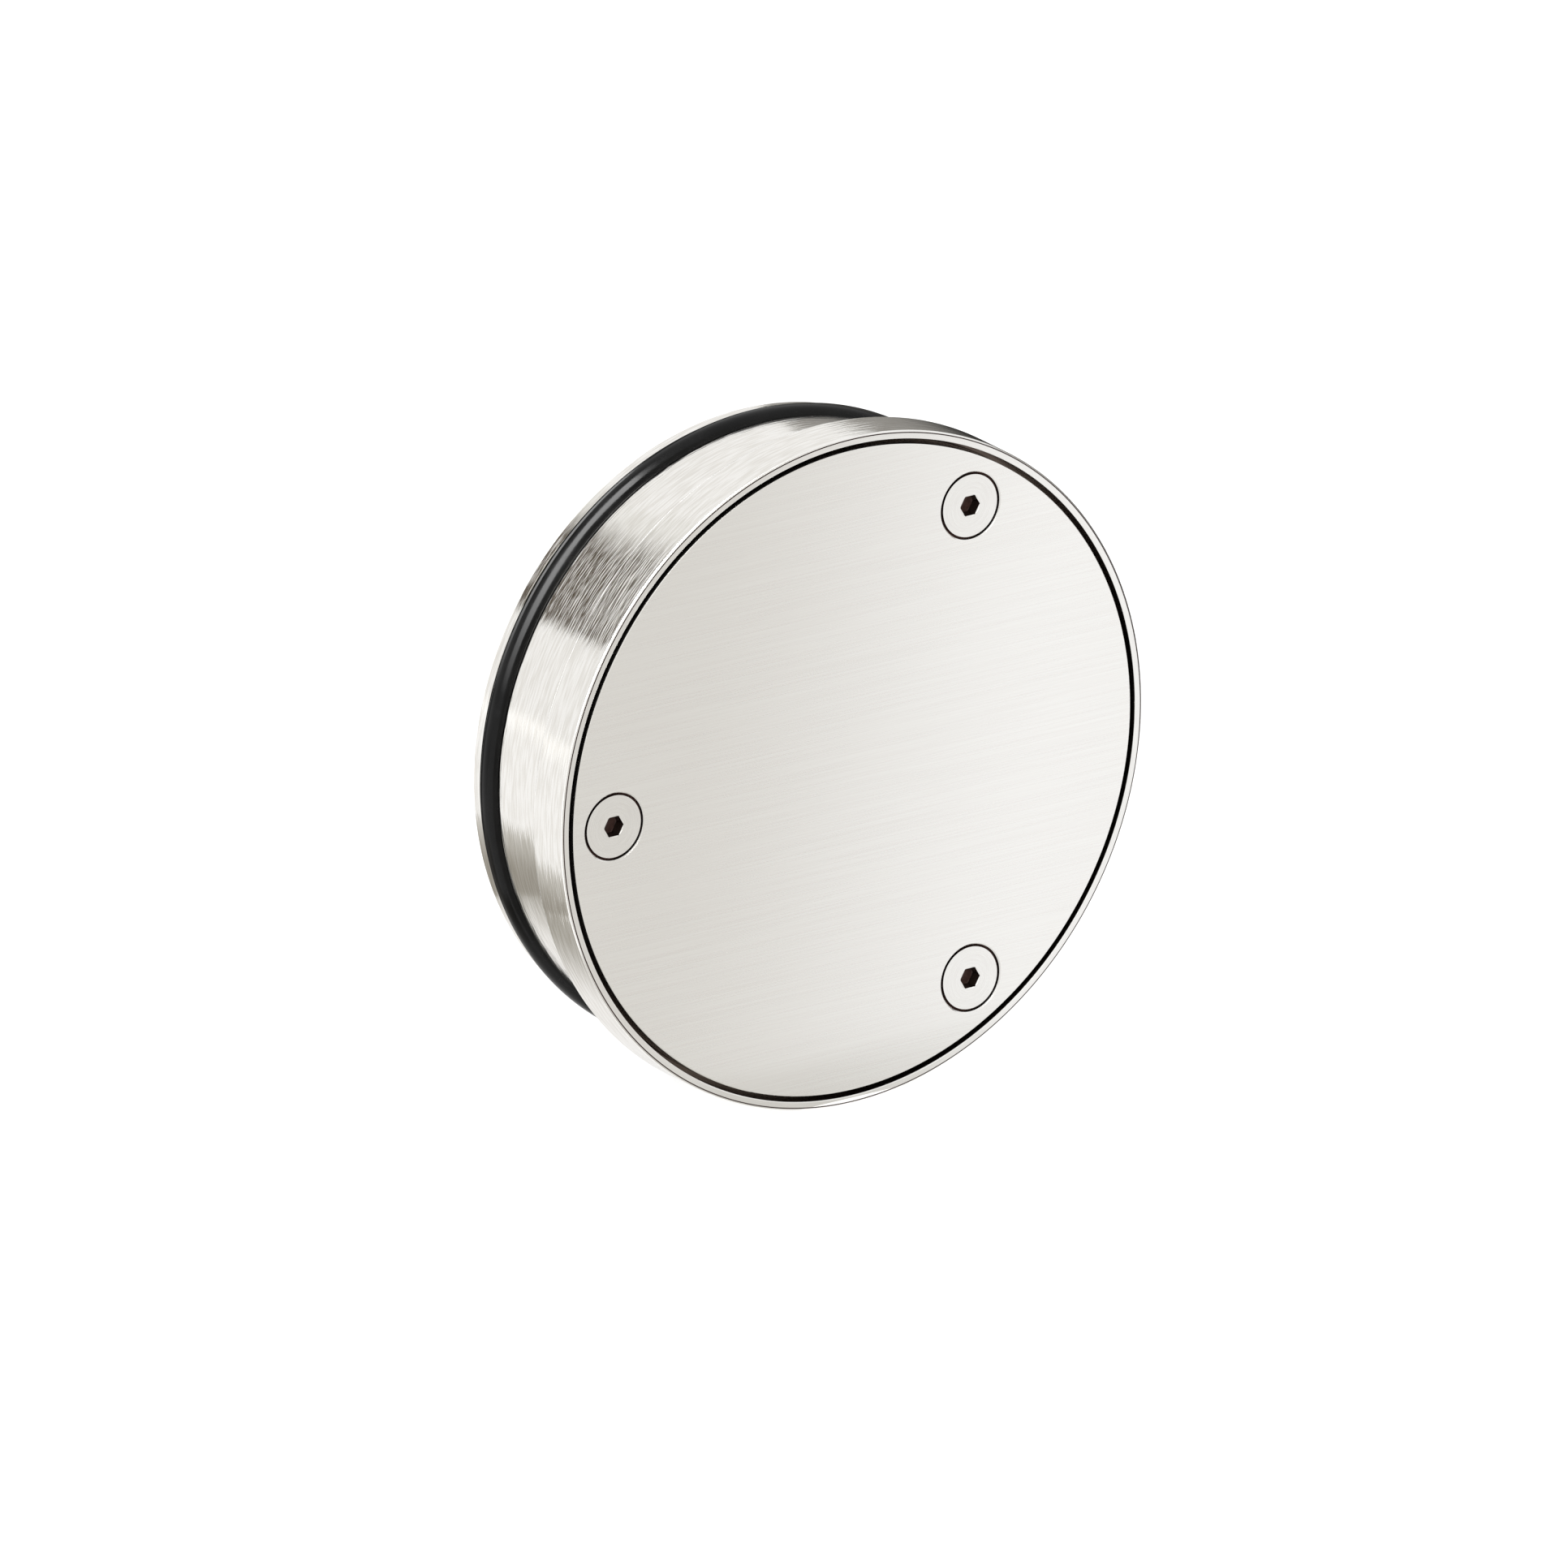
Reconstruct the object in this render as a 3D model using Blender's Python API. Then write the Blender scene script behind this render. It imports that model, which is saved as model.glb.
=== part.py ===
"""Round opening porthole: a flush steel cover that a screw pushes straight out of its frame.

The frame is a rimmed front ring, a barrel that goes through the hull, an expansion seal and a
rear clamp ring. Three countersunk screws hold the cover to three guide pillars, and a handwheel
on the inboard side turns a trapezoidal spindle in a nut on the cover's back.

Axes: +Z up, +Y inboard, the cover faces -Y. The origin is on the porthole's axis, in the plane
where the front ring's back rests on the hull.
"""

import math

import bmesh
import bpy
from mathutils import Matrix, Vector

MM = 0.001

# Clearances
TOUCH = 0.3 * MM             # between pieces that rest on each other
RUNNING = 0.15 * MM          # radial, between a pillar and its bush
PIERCE = 2.0 * MM            # how far a cutter passes through a face

# Facets round each kind of piece
RING_SIDES = 60
BOSS_SIDES = 20
BORE_SIDES = 12
RIM_SIDES = 32

# Overall sizes
FLANGE_RADIUS = 85.5 * MM
BARREL_LENGTH = 23.9 * MM    # from the hull's face to the barrel's rear end
SEAT_WIDTH = 6.7 * MM        # how far the front ring reaches past the barrel
TRAVEL = 18.0 * MM           # how far the cover moves out

# Front ring and cover
RIM_WALL = 2.1 * MM
WEB_THICKNESS = 5.2 * MM
WEB_STEP = 0.5 * MM          # the web's bore is this much wider than the barrel's
EDGE = 0.45 * MM             # turned edge break
COVER_THICKNESS = 6.0 * MM
COVER_GAP = 1.25 * MM        # all round, between the cover and the rim
SEAT_GAP = 1.2 * MM          # behind the cover, where its seal is squeezed
SPIGOT = 2.0 * MM            # how far the barrel enters the front ring
GROOVE_DEPTH = 1.8 * MM
SEAL_WIDTH = 3.2 * MM

# Barrel, expansion seal and rear ring
BARREL_WALL = 2.5 * MM
GUIDE_LENGTH = 13.7 * MM     # guide bosses, behind the hull's face
BOSS_INSET = 0.3 * MM        # guide bosses stop this far inside the barrel's outer face
BOSS_BITE = 0.7 * MM         # how far the small bosses run into the barrel's wall
TIE_BOSS_RADIUS = 7.0 * MM
TIE_BOSS_STEP = 3.9 * MM     # bridge seats, ahead of the barrel's rear end
TIE_BOSS_LENGTH = 14.0 * MM
CLAMP_BOSS_RADIUS = 5.5 * MM
CLAMP_BOSS_STEP = 1.9 * MM
CLAMP_BOSS_LENGTH = 14.0 * MM
TAPPED_DEPTH = 12.0 * MM
EXPANSION_WIDTH = 7.0 * MM
EXPANSION_PROUD = 2.0 * MM   # the rubber stands this far out of the barrel
EXPANSION_WALL = 2.1 * MM    # rubber under the crown's edge
REAR_THICKNESS = 2.8 * MM
REAR_PROUD = 0.6 * MM        # the rear ring is this much larger than the barrel
LUG_RADIUS = 6.5 * MM

# Cover screws (M8 countersunk), pillars and bushes
HEAD_RADIUS = 8.0 * MM
HEAD_RECESS = 0.3 * MM
HEAD_SIDE_GAP = 0.25 * MM
COVER_SHANK_RADIUS = 4.0 * MM
COVER_SCREW_LENGTH = 16.0 * MM
COVER_SOCKET = 5.0 * MM      # across the hexagon's flats
COVER_SOCKET_DEPTH = 3.0 * MM
THREAD_RUNOUT = 1.0 * MM     # past a screw's end, in its tapped hole
PILLAR_RADIUS = 6.0 * MM
PILLAR_END = 1.5 * MM        # steel left past the stop pin's hole
BUSH_WALL = 0.85 * MM
STOP_PIN_RADIUS = 1.5 * MM
STOP_PIN_LENGTH = 18.0 * MM

# Bridge and its screws (M6), clamp screws (M4)
ARM_WIDTH = 11.0 * MM
ARM_THICKNESS = 5.0 * MM
HUB_WALL = 5.0 * MM
HUB_CLEARANCE = 1.0 * MM     # round the nut and the collar
TIE_SHANK_RADIUS = 3.0 * MM
TIE_HEAD_RADIUS = 5.0 * MM
TIE_HEAD_HEIGHT = 6.0 * MM
TIE_SCREW_LENGTH = 14.0 * MM
CLAMP_SHANK_RADIUS = 2.0 * MM
CLAMP_HEAD_RADIUS = 3.5 * MM
CLAMP_HEAD_HEIGHT = 4.0 * MM
CLAMP_SCREW_LENGTH = 20.0 * MM

SOCKET_FLATS = 0.86          # across a hexagon socket's flats, against its head's radius
SOCKET_DEPTH = 0.55          # against its head's height

# Spindle drive
SPINDLE_RADIUS = 8.0 * MM
SPINDLE_ENGAGED = 12.0 * MM  # thread still in the nut when the cover is fully out
SPINDLE_FRONT_GAP = 1.1 * MM
NUT_WALL = 3.7 * MM
NUT_FLANGE_STEP = 5.5 * MM   # past the circle of its screws
NUT_FLANGE_THICKNESS = 4.0 * MM
NUT_SCREW_STEP = 2.0 * MM    # between the screws' heads and the nut
NUT_SHANK_RADIUS = 2.0 * MM
NUT_HEAD_RADIUS = 3.5 * MM
NUT_HEAD_HEIGHT = 3.0 * MM
NUT_SCREW_DEPTH = 4.0 * MM   # blind, in the cover's back
COLLAR_STEP = 2.5 * MM
COLLAR_THICKNESS = 2.7 * MM
JOURNAL_RADIUS = 6.0 * MM
BEARING_WALL = 2.7 * MM
BEARING_LENGTH = 11.0 * MM
BEARING_FLANGE_STEP = 3.0 * MM
BEARING_FLANGE_THICKNESS = 1.5 * MM
WHEEL_SEAT_RADIUS = 5.0 * MM
WHEEL_HUB_RADIUS = 11.0 * MM
WHEEL_HUB_LENGTH = 14.0 * MM
WHEEL_RIM_RADIUS = 32.0 * MM
WHEEL_RIM_SECTION = 4.5 * MM
WHEEL_RIM_OFFSET = 8.4 * MM  # the rim's middle, from the hub's front face
SPOKE_WIDTH = 8.0 * MM
SPOKE_THICKNESS = 5.0 * MM
WHEEL_SHANK_RADIUS = 2.5 * MM
WHEEL_HEAD_RADIUS = 4.75 * MM
WHEEL_HEAD_HEIGHT = 2.8 * MM
WHEEL_SCREW_LENGTH = 12.0 * MM
WASHER_RADIUS = 9.0 * MM
WASHER_THICKNESS = 1.5 * MM

# Angles round the axis, from +X towards +Z
GUIDE_ANGLES = (60.0, 180.0, 300.0)
TIE_ANGLES = (0.0, 120.0, 240.0)
CLAMP_ANGLES = (30.0, 90.0, 150.0, 210.0, 270.0, 330.0)
NUT_SCREW_ANGLES = (0.0, 120.0, 240.0)
SPOKE_ANGLES = (60.0, 180.0, 300.0)

# Sizes that follow from the ones above
BARREL_RADIUS = FLANGE_RADIUS - SEAT_WIDTH
BARREL_BORE = BARREL_RADIUS - BARREL_WALL
RIM_BORE = FLANGE_RADIUS - RIM_WALL
WEB_BORE = BARREL_BORE + WEB_STEP
COVER_RADIUS = RIM_BORE - COVER_GAP
WEB_FRONT = -WEB_THICKNESS
COVER_BACK = WEB_FRONT - SEAT_GAP
COVER_FRONT = COVER_BACK - COVER_THICKNESS
SEAL_CIRCLE = (WEB_BORE + COVER_RADIUS) / 2
REAR_FRONT = BARREL_LENGTH + EXPANSION_WIDTH
REAR_BACK = REAR_FRONT + REAR_THICKNESS
PILLAR_CIRCLE = BARREL_BORE - TOUCH - PILLAR_RADIUS
BUSH_BORE = PILLAR_RADIUS + RUNNING
BUSH_RADIUS = BUSH_BORE + BUSH_WALL
GUIDE_BOSS_RADIUS = BARREL_RADIUS - BOSS_INSET - PILLAR_CIRCLE
BARREL_FRONT = TOUCH - SPIGOT
TIE_CIRCLE = BARREL_BORE + BOSS_BITE - TIE_BOSS_RADIUS
TIE_SEAT = BARREL_LENGTH - TIE_BOSS_STEP
CLAMP_CIRCLE = BARREL_BORE + BOSS_BITE - CLAMP_BOSS_RADIUS
CLAMP_SEAT = BARREL_LENGTH - CLAMP_BOSS_STEP
BUSH_BACK = GUIDE_LENGTH + TOUCH
STOP_PIN_PLACE = BUSH_BACK + TRAVEL + TOUCH + STOP_PIN_RADIUS
PILLAR_FRONT = COVER_BACK + TOUCH
PILLAR_BACK = STOP_PIN_PLACE + STOP_PIN_RADIUS + PILLAR_END
SPINDLE_FRONT = COVER_BACK + TOUCH + SPINDLE_FRONT_GAP
NUT_BACK = SPINDLE_FRONT + TRAVEL + SPINDLE_ENGAGED
NUT_RADIUS = SPINDLE_RADIUS + TOUCH + NUT_WALL
NUT_SCREW_CIRCLE = NUT_RADIUS + NUT_SCREW_STEP + NUT_HEAD_RADIUS
NUT_FLANGE_RADIUS = NUT_SCREW_CIRCLE + NUT_FLANGE_STEP
COLLAR_RADIUS = SPINDLE_RADIUS + COLLAR_STEP
ARM_FRONT = TIE_SEAT + TOUCH
ARM_BACK = ARM_FRONT + ARM_THICKNESS
COLLAR_FRONT = NUT_BACK + TOUCH
COLLAR_BACK = COLLAR_FRONT + COLLAR_THICKNESS
HUB_CAVITY_RADIUS = max(NUT_RADIUS, COLLAR_RADIUS) + HUB_CLEARANCE
HUB_RADIUS = HUB_CAVITY_RADIUS + HUB_WALL
HUB_CAVITY_BACK = COLLAR_BACK + TOUCH
HUB_BACK = HUB_CAVITY_BACK + BEARING_LENGTH
BEARING_BORE = JOURNAL_RADIUS + TOUCH
BEARING_RADIUS = BEARING_BORE + BEARING_WALL
BEARING_FLANGE_RADIUS = BEARING_RADIUS + BEARING_FLANGE_STEP
WHEEL_FRONT = HUB_BACK + TOUCH + BEARING_FLANGE_THICKNESS + TOUCH
WHEEL_BACK = WHEEL_FRONT + WHEEL_HUB_LENGTH
WHEEL_MIDDLE = WHEEL_FRONT + WHEEL_RIM_OFFSET
SPINDLE_BACK = WHEEL_BACK - TOUCH


def clear_scene():
    """Remove every object that the new file starts with."""
    for thing in list(bpy.data.objects):
        bpy.data.objects.remove(thing, do_unlink=True)


def finish(name, colour, roughness, metallic):
    """A Principled material."""
    material = bpy.data.materials.new(name)
    material.use_nodes = True
    shader = material.node_tree.nodes["Principled BSDF"]
    shader.inputs["Base Color"].default_value = (*colour, 1.0)
    shader.inputs["Roughness"].default_value = roughness
    shader.inputs["Metallic"].default_value = metallic
    return material


def pivot(name, place):
    """An empty that moving pieces hang on."""
    empty = bpy.data.objects.new(name, None)
    empty.location = place
    bpy.context.collection.objects.link(empty)
    return empty


def piece(name, mesh_data, material=None, parent=None, place=(0, 0, 0), turn=0.0):
    """An object from a bmesh, placed in the world and turned about Y by an angle in degrees."""
    bmesh.ops.recalc_face_normals(mesh_data, faces=mesh_data.faces)
    mesh = bpy.data.meshes.new(name)
    mesh_data.to_mesh(mesh)
    mesh_data.free()
    thing = bpy.data.objects.new(name, mesh)
    bpy.context.collection.objects.link(thing)
    if material:
        mesh.materials.append(material)
    thing.parent = parent
    thing.location = Vector(place) - (parent.location if parent else Vector())
    thing.rotation_euler = (0.0, -math.radians(turn), 0.0)
    return thing


def polar(circle, angle, depth=0.0):
    """A place on a circle round the porthole's axis."""
    turn = math.radians(angle)
    return Vector((circle * math.cos(turn), depth, circle * math.sin(turn)))


def turned(profile, sides=RING_SIDES):
    """A body turned about Y from a closed outline of (radius, depth) points."""
    body = bmesh.new()
    points = [body.verts.new((radius, depth, 0.0)) for radius, depth in profile]
    edges = [body.edges.new(pair) for pair in zip(points, points[1:] + points[:1])]
    axis_edges = [e for e in edges if all(v.co.x < 1e-7 for v in e.verts)]
    spun = [e for e in edges if e not in axis_edges]
    bmesh.ops.delete(body, geom=axis_edges, context="EDGES_FACES")
    bmesh.ops.spin(body, geom=spun + points, cent=(0, 0, 0), axis=(0, 1, 0),
                   angle=2 * math.pi, steps=sides, use_merge=True)
    bmesh.ops.remove_doubles(body, verts=body.verts, dist=1e-6)
    return body


def cylinder(radius, front, back, sides=BOSS_SIDES, place=(0, 0, 0)):
    """A solid cylinder along Y between two depths."""
    body = turned([(0.0, front), (radius, front), (radius, back), (0.0, back)], sides)
    bmesh.ops.translate(body, verts=body.verts, vec=place)
    return body


def ring(inner, outer, front, back, sides=RING_SIDES):
    """A plain ring along Y between two depths."""
    return turned([(inner, front), (outer, front), (outer, back), (inner, back)], sides)


def hexagon(flats, front, back, place=(0, 0, 0)):
    """A six-sided cutter with a corner along X."""
    return cylinder(flats / math.sqrt(3), front, back, 6, place)


def block(low, high):
    """A box between two corners."""
    body = bmesh.new()
    bmesh.ops.create_cube(body, size=1.0)
    low, high = Vector(low), Vector(high)
    bmesh.ops.scale(body, verts=body.verts, vec=high - low)
    bmesh.ops.translate(body, verts=body.verts, vec=(low + high) / 2)
    return body


def gather(bodies):
    """Several bodies, which don't meet, in one mesh."""
    whole = bmesh.new()
    for body in bodies:
        bmesh.ops.recalc_face_normals(body, faces=body.faces)
        part = bpy.data.meshes.new("part")
        body.to_mesh(part)
        body.free()
        whole.from_mesh(part)
        bpy.data.meshes.remove(part)
    return whole


def boolean(thing, tool_body, operation):
    """Cut from a piece, or join to it, and keep the result as its mesh."""
    tool = piece("tool", tool_body)
    tool.hide_render = True
    tool.display_type = "WIRE"
    modifier = thing.modifiers.new(operation.lower(), "BOOLEAN")
    modifier.operation = operation
    modifier.object = tool
    parent, place, turn = thing.parent, thing.location.copy(), thing.rotation_euler.copy()
    thing.parent, thing.location, thing.rotation_euler = None, (0, 0, 0), (0, 0, 0)
    graph = bpy.context.evaluated_depsgraph_get()
    result = bpy.data.meshes.new_from_object(thing.evaluated_get(graph))
    thing.modifiers.clear()
    old = thing.data
    thing.data = result
    bpy.data.meshes.remove(old)
    bpy.data.objects.remove(tool, do_unlink=True)
    thing.parent, thing.location, thing.rotation_euler = parent, place, turn
    result.name = thing.name


def smooth_all():
    """Shade the round faces smooth and keep the turned edges sharp."""
    for thing in bpy.data.objects:
        if thing.type == "MESH":
            thing.data.shade_smooth()
            thing.data.set_sharp_from_angle(angle=math.radians(35))


def front_ring(steel):
    """The rimmed flange: rim, web with the seal's groove, and the barrel's seat."""
    groove_in = SEAL_CIRCLE - SEAL_WIDTH / 2 - TOUCH
    groove_out = SEAL_CIRCLE + SEAL_WIDTH / 2 + TOUCH
    outline = [
        (FLANGE_RADIUS, -EDGE), (FLANGE_RADIUS - EDGE, 0.0),
        (BARREL_RADIUS + TOUCH, 0.0), (BARREL_RADIUS + TOUCH, -SPIGOT),
        (WEB_BORE, -SPIGOT), (WEB_BORE, WEB_FRONT),
        (groove_in, WEB_FRONT), (groove_in, WEB_FRONT + GROOVE_DEPTH),
        (groove_out, WEB_FRONT + GROOVE_DEPTH), (groove_out, WEB_FRONT),
        (RIM_BORE, WEB_FRONT), (RIM_BORE, COVER_FRONT),
        (FLANGE_RADIUS - EDGE, COVER_FRONT), (FLANGE_RADIUS, COVER_FRONT + EDGE),
    ]
    piece("front_ring", turned(outline), steel)


def barrel(steel):
    """The tube through the hull, with its guide, tie and clamp bosses."""
    tube = piece("barrel", ring(BARREL_BORE, BARREL_RADIUS, BARREL_FRONT, BARREL_LENGTH), steel)
    groups = (
        (GUIDE_ANGLES, PILLAR_CIRCLE, GUIDE_BOSS_RADIUS, BARREL_FRONT + TOUCH, GUIDE_LENGTH),
        (TIE_ANGLES, TIE_CIRCLE, TIE_BOSS_RADIUS, TIE_SEAT - TIE_BOSS_LENGTH, TIE_SEAT),
        (CLAMP_ANGLES, CLAMP_CIRCLE, CLAMP_BOSS_RADIUS, CLAMP_SEAT - CLAMP_BOSS_LENGTH, CLAMP_SEAT),
    )
    bosses = [
        cylinder(radius, front, back, BOSS_SIDES, polar(circle, angle))
        for angles, circle, radius, front, back in groups for angle in angles
    ]
    boolean(tube, gather(bosses), "UNION")
    holes = [
        cylinder(BUSH_RADIUS + TOUCH, BARREL_FRONT - PIERCE, GUIDE_LENGTH + PIERCE, BOSS_SIDES,
                 polar(PILLAR_CIRCLE, angle))
        for angle in GUIDE_ANGLES
    ]
    holes += [
        cylinder(TIE_SHANK_RADIUS + TOUCH, TIE_SEAT - TAPPED_DEPTH, TIE_SEAT + PIERCE, BORE_SIDES,
                 polar(TIE_CIRCLE, angle))
        for angle in TIE_ANGLES
    ]
    holes += [
        cylinder(CLAMP_SHANK_RADIUS + TOUCH, CLAMP_SEAT - TAPPED_DEPTH, CLAMP_SEAT + PIERCE,
                 BORE_SIDES, polar(CLAMP_CIRCLE, angle))
        for angle in CLAMP_ANGLES
    ]
    boolean(tube, gather(holes), "DIFFERENCE")


def cover_seal(rubber):
    """The ring that the closed cover squeezes, in the web's groove."""
    front = COVER_BACK + TOUCH
    back = WEB_FRONT + GROOVE_DEPTH - TOUCH
    half = SEAL_WIDTH / 2
    outline = [
        (SEAL_CIRCLE - half, back), (SEAL_CIRCLE - half, front + half / 2),
        (SEAL_CIRCLE - half / 2, front), (SEAL_CIRCLE + half / 2, front),
        (SEAL_CIRCLE + half, front + half / 2), (SEAL_CIRCLE + half, back),
    ]
    piece("cover_seal", turned(outline), rubber)


def expansion_seal(rubber):
    """The fat ring that swells against the hull when the rear ring is drawn up."""
    front = BARREL_LENGTH + TOUCH
    back = REAR_FRONT - TOUCH
    half = (back - front) / 2
    base = BARREL_RADIUS - EXPANSION_WALL + EXPANSION_PROUD / 2
    outline = [(BARREL_BORE + TOUCH, back), (BARREL_BORE + TOUCH, front)]
    for step in range(7):
        turn = math.pi * step / 6
        rise = BARREL_RADIUS + EXPANSION_PROUD - base
        outline.append((base + rise * math.sin(turn), front + half - half * math.cos(turn)))
    piece("expansion_seal", turned(outline), rubber)


def rear_ring(steel):
    """The clamp ring behind the seal, with a lug for each clamp screw."""
    outer = BARREL_RADIUS + REAR_PROUD
    outline = [
        (BARREL_BORE + TOUCH, REAR_FRONT), (outer - EDGE, REAR_FRONT), (outer, REAR_FRONT + EDGE),
        (outer, REAR_BACK - EDGE), (outer - EDGE, REAR_BACK), (BARREL_BORE + TOUCH, REAR_BACK),
    ]
    clamp = piece("rear_ring", turned(outline), steel)
    lugs = [cylinder(LUG_RADIUS, REAR_FRONT, REAR_BACK, BOSS_SIDES, polar(CLAMP_CIRCLE, angle))
            for angle in CLAMP_ANGLES]
    boolean(clamp, gather(lugs), "UNION")
    holes = [cylinder(CLAMP_SHANK_RADIUS + TOUCH, REAR_FRONT - PIERCE, REAR_BACK + PIERCE,
                      BORE_SIDES, polar(CLAMP_CIRCLE, angle)) for angle in CLAMP_ANGLES]
    boolean(clamp, gather(holes), "DIFFERENCE")


def cap_screw(name, place, shank, length, head, height, material, parent=None):
    """A socket-head screw whose head's underside is at its origin, with its head inboard."""
    outline = [
        (0.0, -length), (shank, -length), (shank, 0.0), (head, 0.0),
        (head, height - EDGE), (head - EDGE, height), (0.0, height),
    ]
    screw = piece(name, turned(outline, BORE_SIDES), material, parent, place)
    socket = hexagon(SOCKET_FLATS * head, height - SOCKET_DEPTH * height, height + PIERCE)
    boolean(screw, socket, "DIFFERENCE")


def cover_disc(steel, parent):
    """The flush cover, countersunk for its screws and tapped at the back for the nut."""
    outline = [
        (0.0, COVER_BACK), (COVER_RADIUS, COVER_BACK), (COVER_RADIUS, COVER_FRONT + EDGE),
        (COVER_RADIUS - EDGE, COVER_FRONT), (0.0, COVER_FRONT),
    ]
    disc = piece("cover_disc", turned(outline), steel, parent)
    mouth = HEAD_RADIUS + HEAD_SIDE_GAP + HEAD_RECESS
    hole = COVER_SHANK_RADIUS + TOUCH
    sink = [
        (0.0, COVER_FRONT - PIERCE), (mouth + PIERCE, COVER_FRONT - PIERCE),
        (hole, COVER_FRONT + mouth - hole), (hole, COVER_BACK + PIERCE), (0.0, COVER_BACK + PIERCE),
    ]
    tools = []
    for angle in GUIDE_ANGLES:
        tool = turned(sink, BOSS_SIDES)
        bmesh.ops.translate(tool, verts=tool.verts, vec=polar(PILLAR_CIRCLE, angle))
        tools.append(tool)
    tools += [cylinder(NUT_SHANK_RADIUS + TOUCH, COVER_BACK - NUT_SCREW_DEPTH, COVER_BACK + PIERCE,
                       BORE_SIDES, polar(NUT_SCREW_CIRCLE, angle)) for angle in NUT_SCREW_ANGLES]
    boolean(disc, gather(tools), "DIFFERENCE")


def cover_screw(number, angle, steel, parent):
    """A countersunk socket screw, its face a little below the cover's."""
    cone = HEAD_RADIUS - COVER_SHANK_RADIUS
    outline = [
        (0.0, 0.0), (HEAD_RADIUS, 0.0), (COVER_SHANK_RADIUS, cone),
        (COVER_SHANK_RADIUS, COVER_SCREW_LENGTH), (0.0, COVER_SCREW_LENGTH),
    ]
    place = polar(PILLAR_CIRCLE, angle, COVER_FRONT + HEAD_RECESS)
    screw = piece(f"cover_screw_{number}", turned(outline, BOSS_SIDES), steel, parent, place)
    boolean(screw, hexagon(COVER_SOCKET, -PIERCE, COVER_SOCKET_DEPTH), "DIFFERENCE")


def guide_pillar(number, angle, steel, parent):
    """A pillar behind each cover screw: it guides the cover and carries its stop pin."""
    length = PILLAR_BACK - PILLAR_FRONT
    outline = [
        (0.0, 0.0), (PILLAR_RADIUS, 0.0), (PILLAR_RADIUS, length - EDGE),
        (PILLAR_RADIUS - EDGE, length), (0.0, length),
    ]
    place = polar(PILLAR_CIRCLE, angle, PILLAR_FRONT)
    pillar = piece(f"guide_pillar_{number}", turned(outline, BOSS_SIDES), steel, parent, place, angle)
    thread_end = COVER_FRONT + HEAD_RECESS + COVER_SCREW_LENGTH - PILLAR_FRONT
    tapped = cylinder(COVER_SHANK_RADIUS + TOUCH, -PIERCE, thread_end + THREAD_RUNOUT, BORE_SIDES)
    across = cylinder(STOP_PIN_RADIUS + TOUCH, -PILLAR_RADIUS - PIERCE, PILLAR_RADIUS + PIERCE,
                      BORE_SIDES)
    bmesh.ops.rotate(across, verts=across.verts, matrix=Matrix.Rotation(math.pi / 2, 3, "X"))
    bmesh.ops.translate(across, verts=across.verts, vec=(0, STOP_PIN_PLACE - PILLAR_FRONT, 0))
    boolean(pillar, gather([tapped, across]), "DIFFERENCE")


def stop_pin(number, angle, steel, parent):
    """A pin across the pillar's end, square to the radius, that meets the bush at full travel."""
    half = STOP_PIN_LENGTH / 2
    outline = [
        (0.0, -half), (STOP_PIN_RADIUS - EDGE, -half), (STOP_PIN_RADIUS, EDGE - half),
        (STOP_PIN_RADIUS, half - EDGE), (STOP_PIN_RADIUS - EDGE, half), (0.0, half),
    ]
    pin = turned(outline, BORE_SIDES)
    bmesh.ops.rotate(pin, verts=pin.verts, matrix=Matrix.Rotation(math.pi / 2, 3, "X"))
    place = polar(PILLAR_CIRCLE, angle, STOP_PIN_PLACE)
    piece(f"stop_pin_{number}", pin, steel, parent, place, angle)


def guide_bush(number, angle, bronze):
    """A bronze liner in each guide boss."""
    bush = ring(BUSH_BORE, BUSH_RADIUS, BARREL_FRONT + TOUCH, BUSH_BACK, BOSS_SIDES)
    piece(f"guide_bush_{number}", bush, bronze, None, polar(PILLAR_CIRCLE, angle), angle)


def bridge(steel):
    """The three-armed spider inside the barrel, with the spindle's bearing in its hub."""
    hub = piece("bridge", cylinder(HUB_RADIUS, ARM_FRONT, HUB_BACK, RIM_SIDES), steel)
    pad = BARREL_BORE - TOUCH - TIE_CIRCLE
    for angle in TIE_ANGLES:
        arm = block((0.0, ARM_FRONT, -ARM_WIDTH / 2), (TIE_CIRCLE, ARM_BACK, ARM_WIDTH / 2))
        foot = cylinder(pad, ARM_FRONT, ARM_BACK, BOSS_SIDES, (TIE_CIRCLE, 0, 0))
        for body in (arm, foot):
            turn = Matrix.Rotation(-math.radians(angle), 3, "Y")
            bmesh.ops.rotate(body, verts=body.verts, matrix=turn)
            boolean(hub, body, "UNION")
    cavity = [
        (0.0, ARM_FRONT - PIERCE), (HUB_CAVITY_RADIUS, ARM_FRONT - PIERCE),
        (HUB_CAVITY_RADIUS, HUB_CAVITY_BACK), (BEARING_RADIUS + TOUCH, HUB_CAVITY_BACK),
        (BEARING_RADIUS + TOUCH, HUB_BACK + PIERCE), (0.0, HUB_BACK + PIERCE),
    ]
    holes = [cylinder(TIE_SHANK_RADIUS + TOUCH, ARM_FRONT - PIERCE, ARM_BACK + PIERCE, BORE_SIDES,
                      polar(TIE_CIRCLE, angle)) for angle in TIE_ANGLES]
    boolean(hub, gather([turned(cavity, RIM_SIDES)] + holes), "DIFFERENCE")


def bearing_bush(bronze):
    """The flanged bronze liner that the spindle turns in."""
    front = HUB_CAVITY_BACK + TOUCH
    seat = HUB_BACK + TOUCH
    outline = [
        (BEARING_BORE, front), (BEARING_RADIUS, front), (BEARING_RADIUS, seat),
        (BEARING_FLANGE_RADIUS, seat), (BEARING_FLANGE_RADIUS, seat + BEARING_FLANGE_THICKNESS),
        (BEARING_BORE, seat + BEARING_FLANGE_THICKNESS),
    ]
    piece("bearing_bush", turned(outline, RIM_SIDES), bronze)


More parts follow.
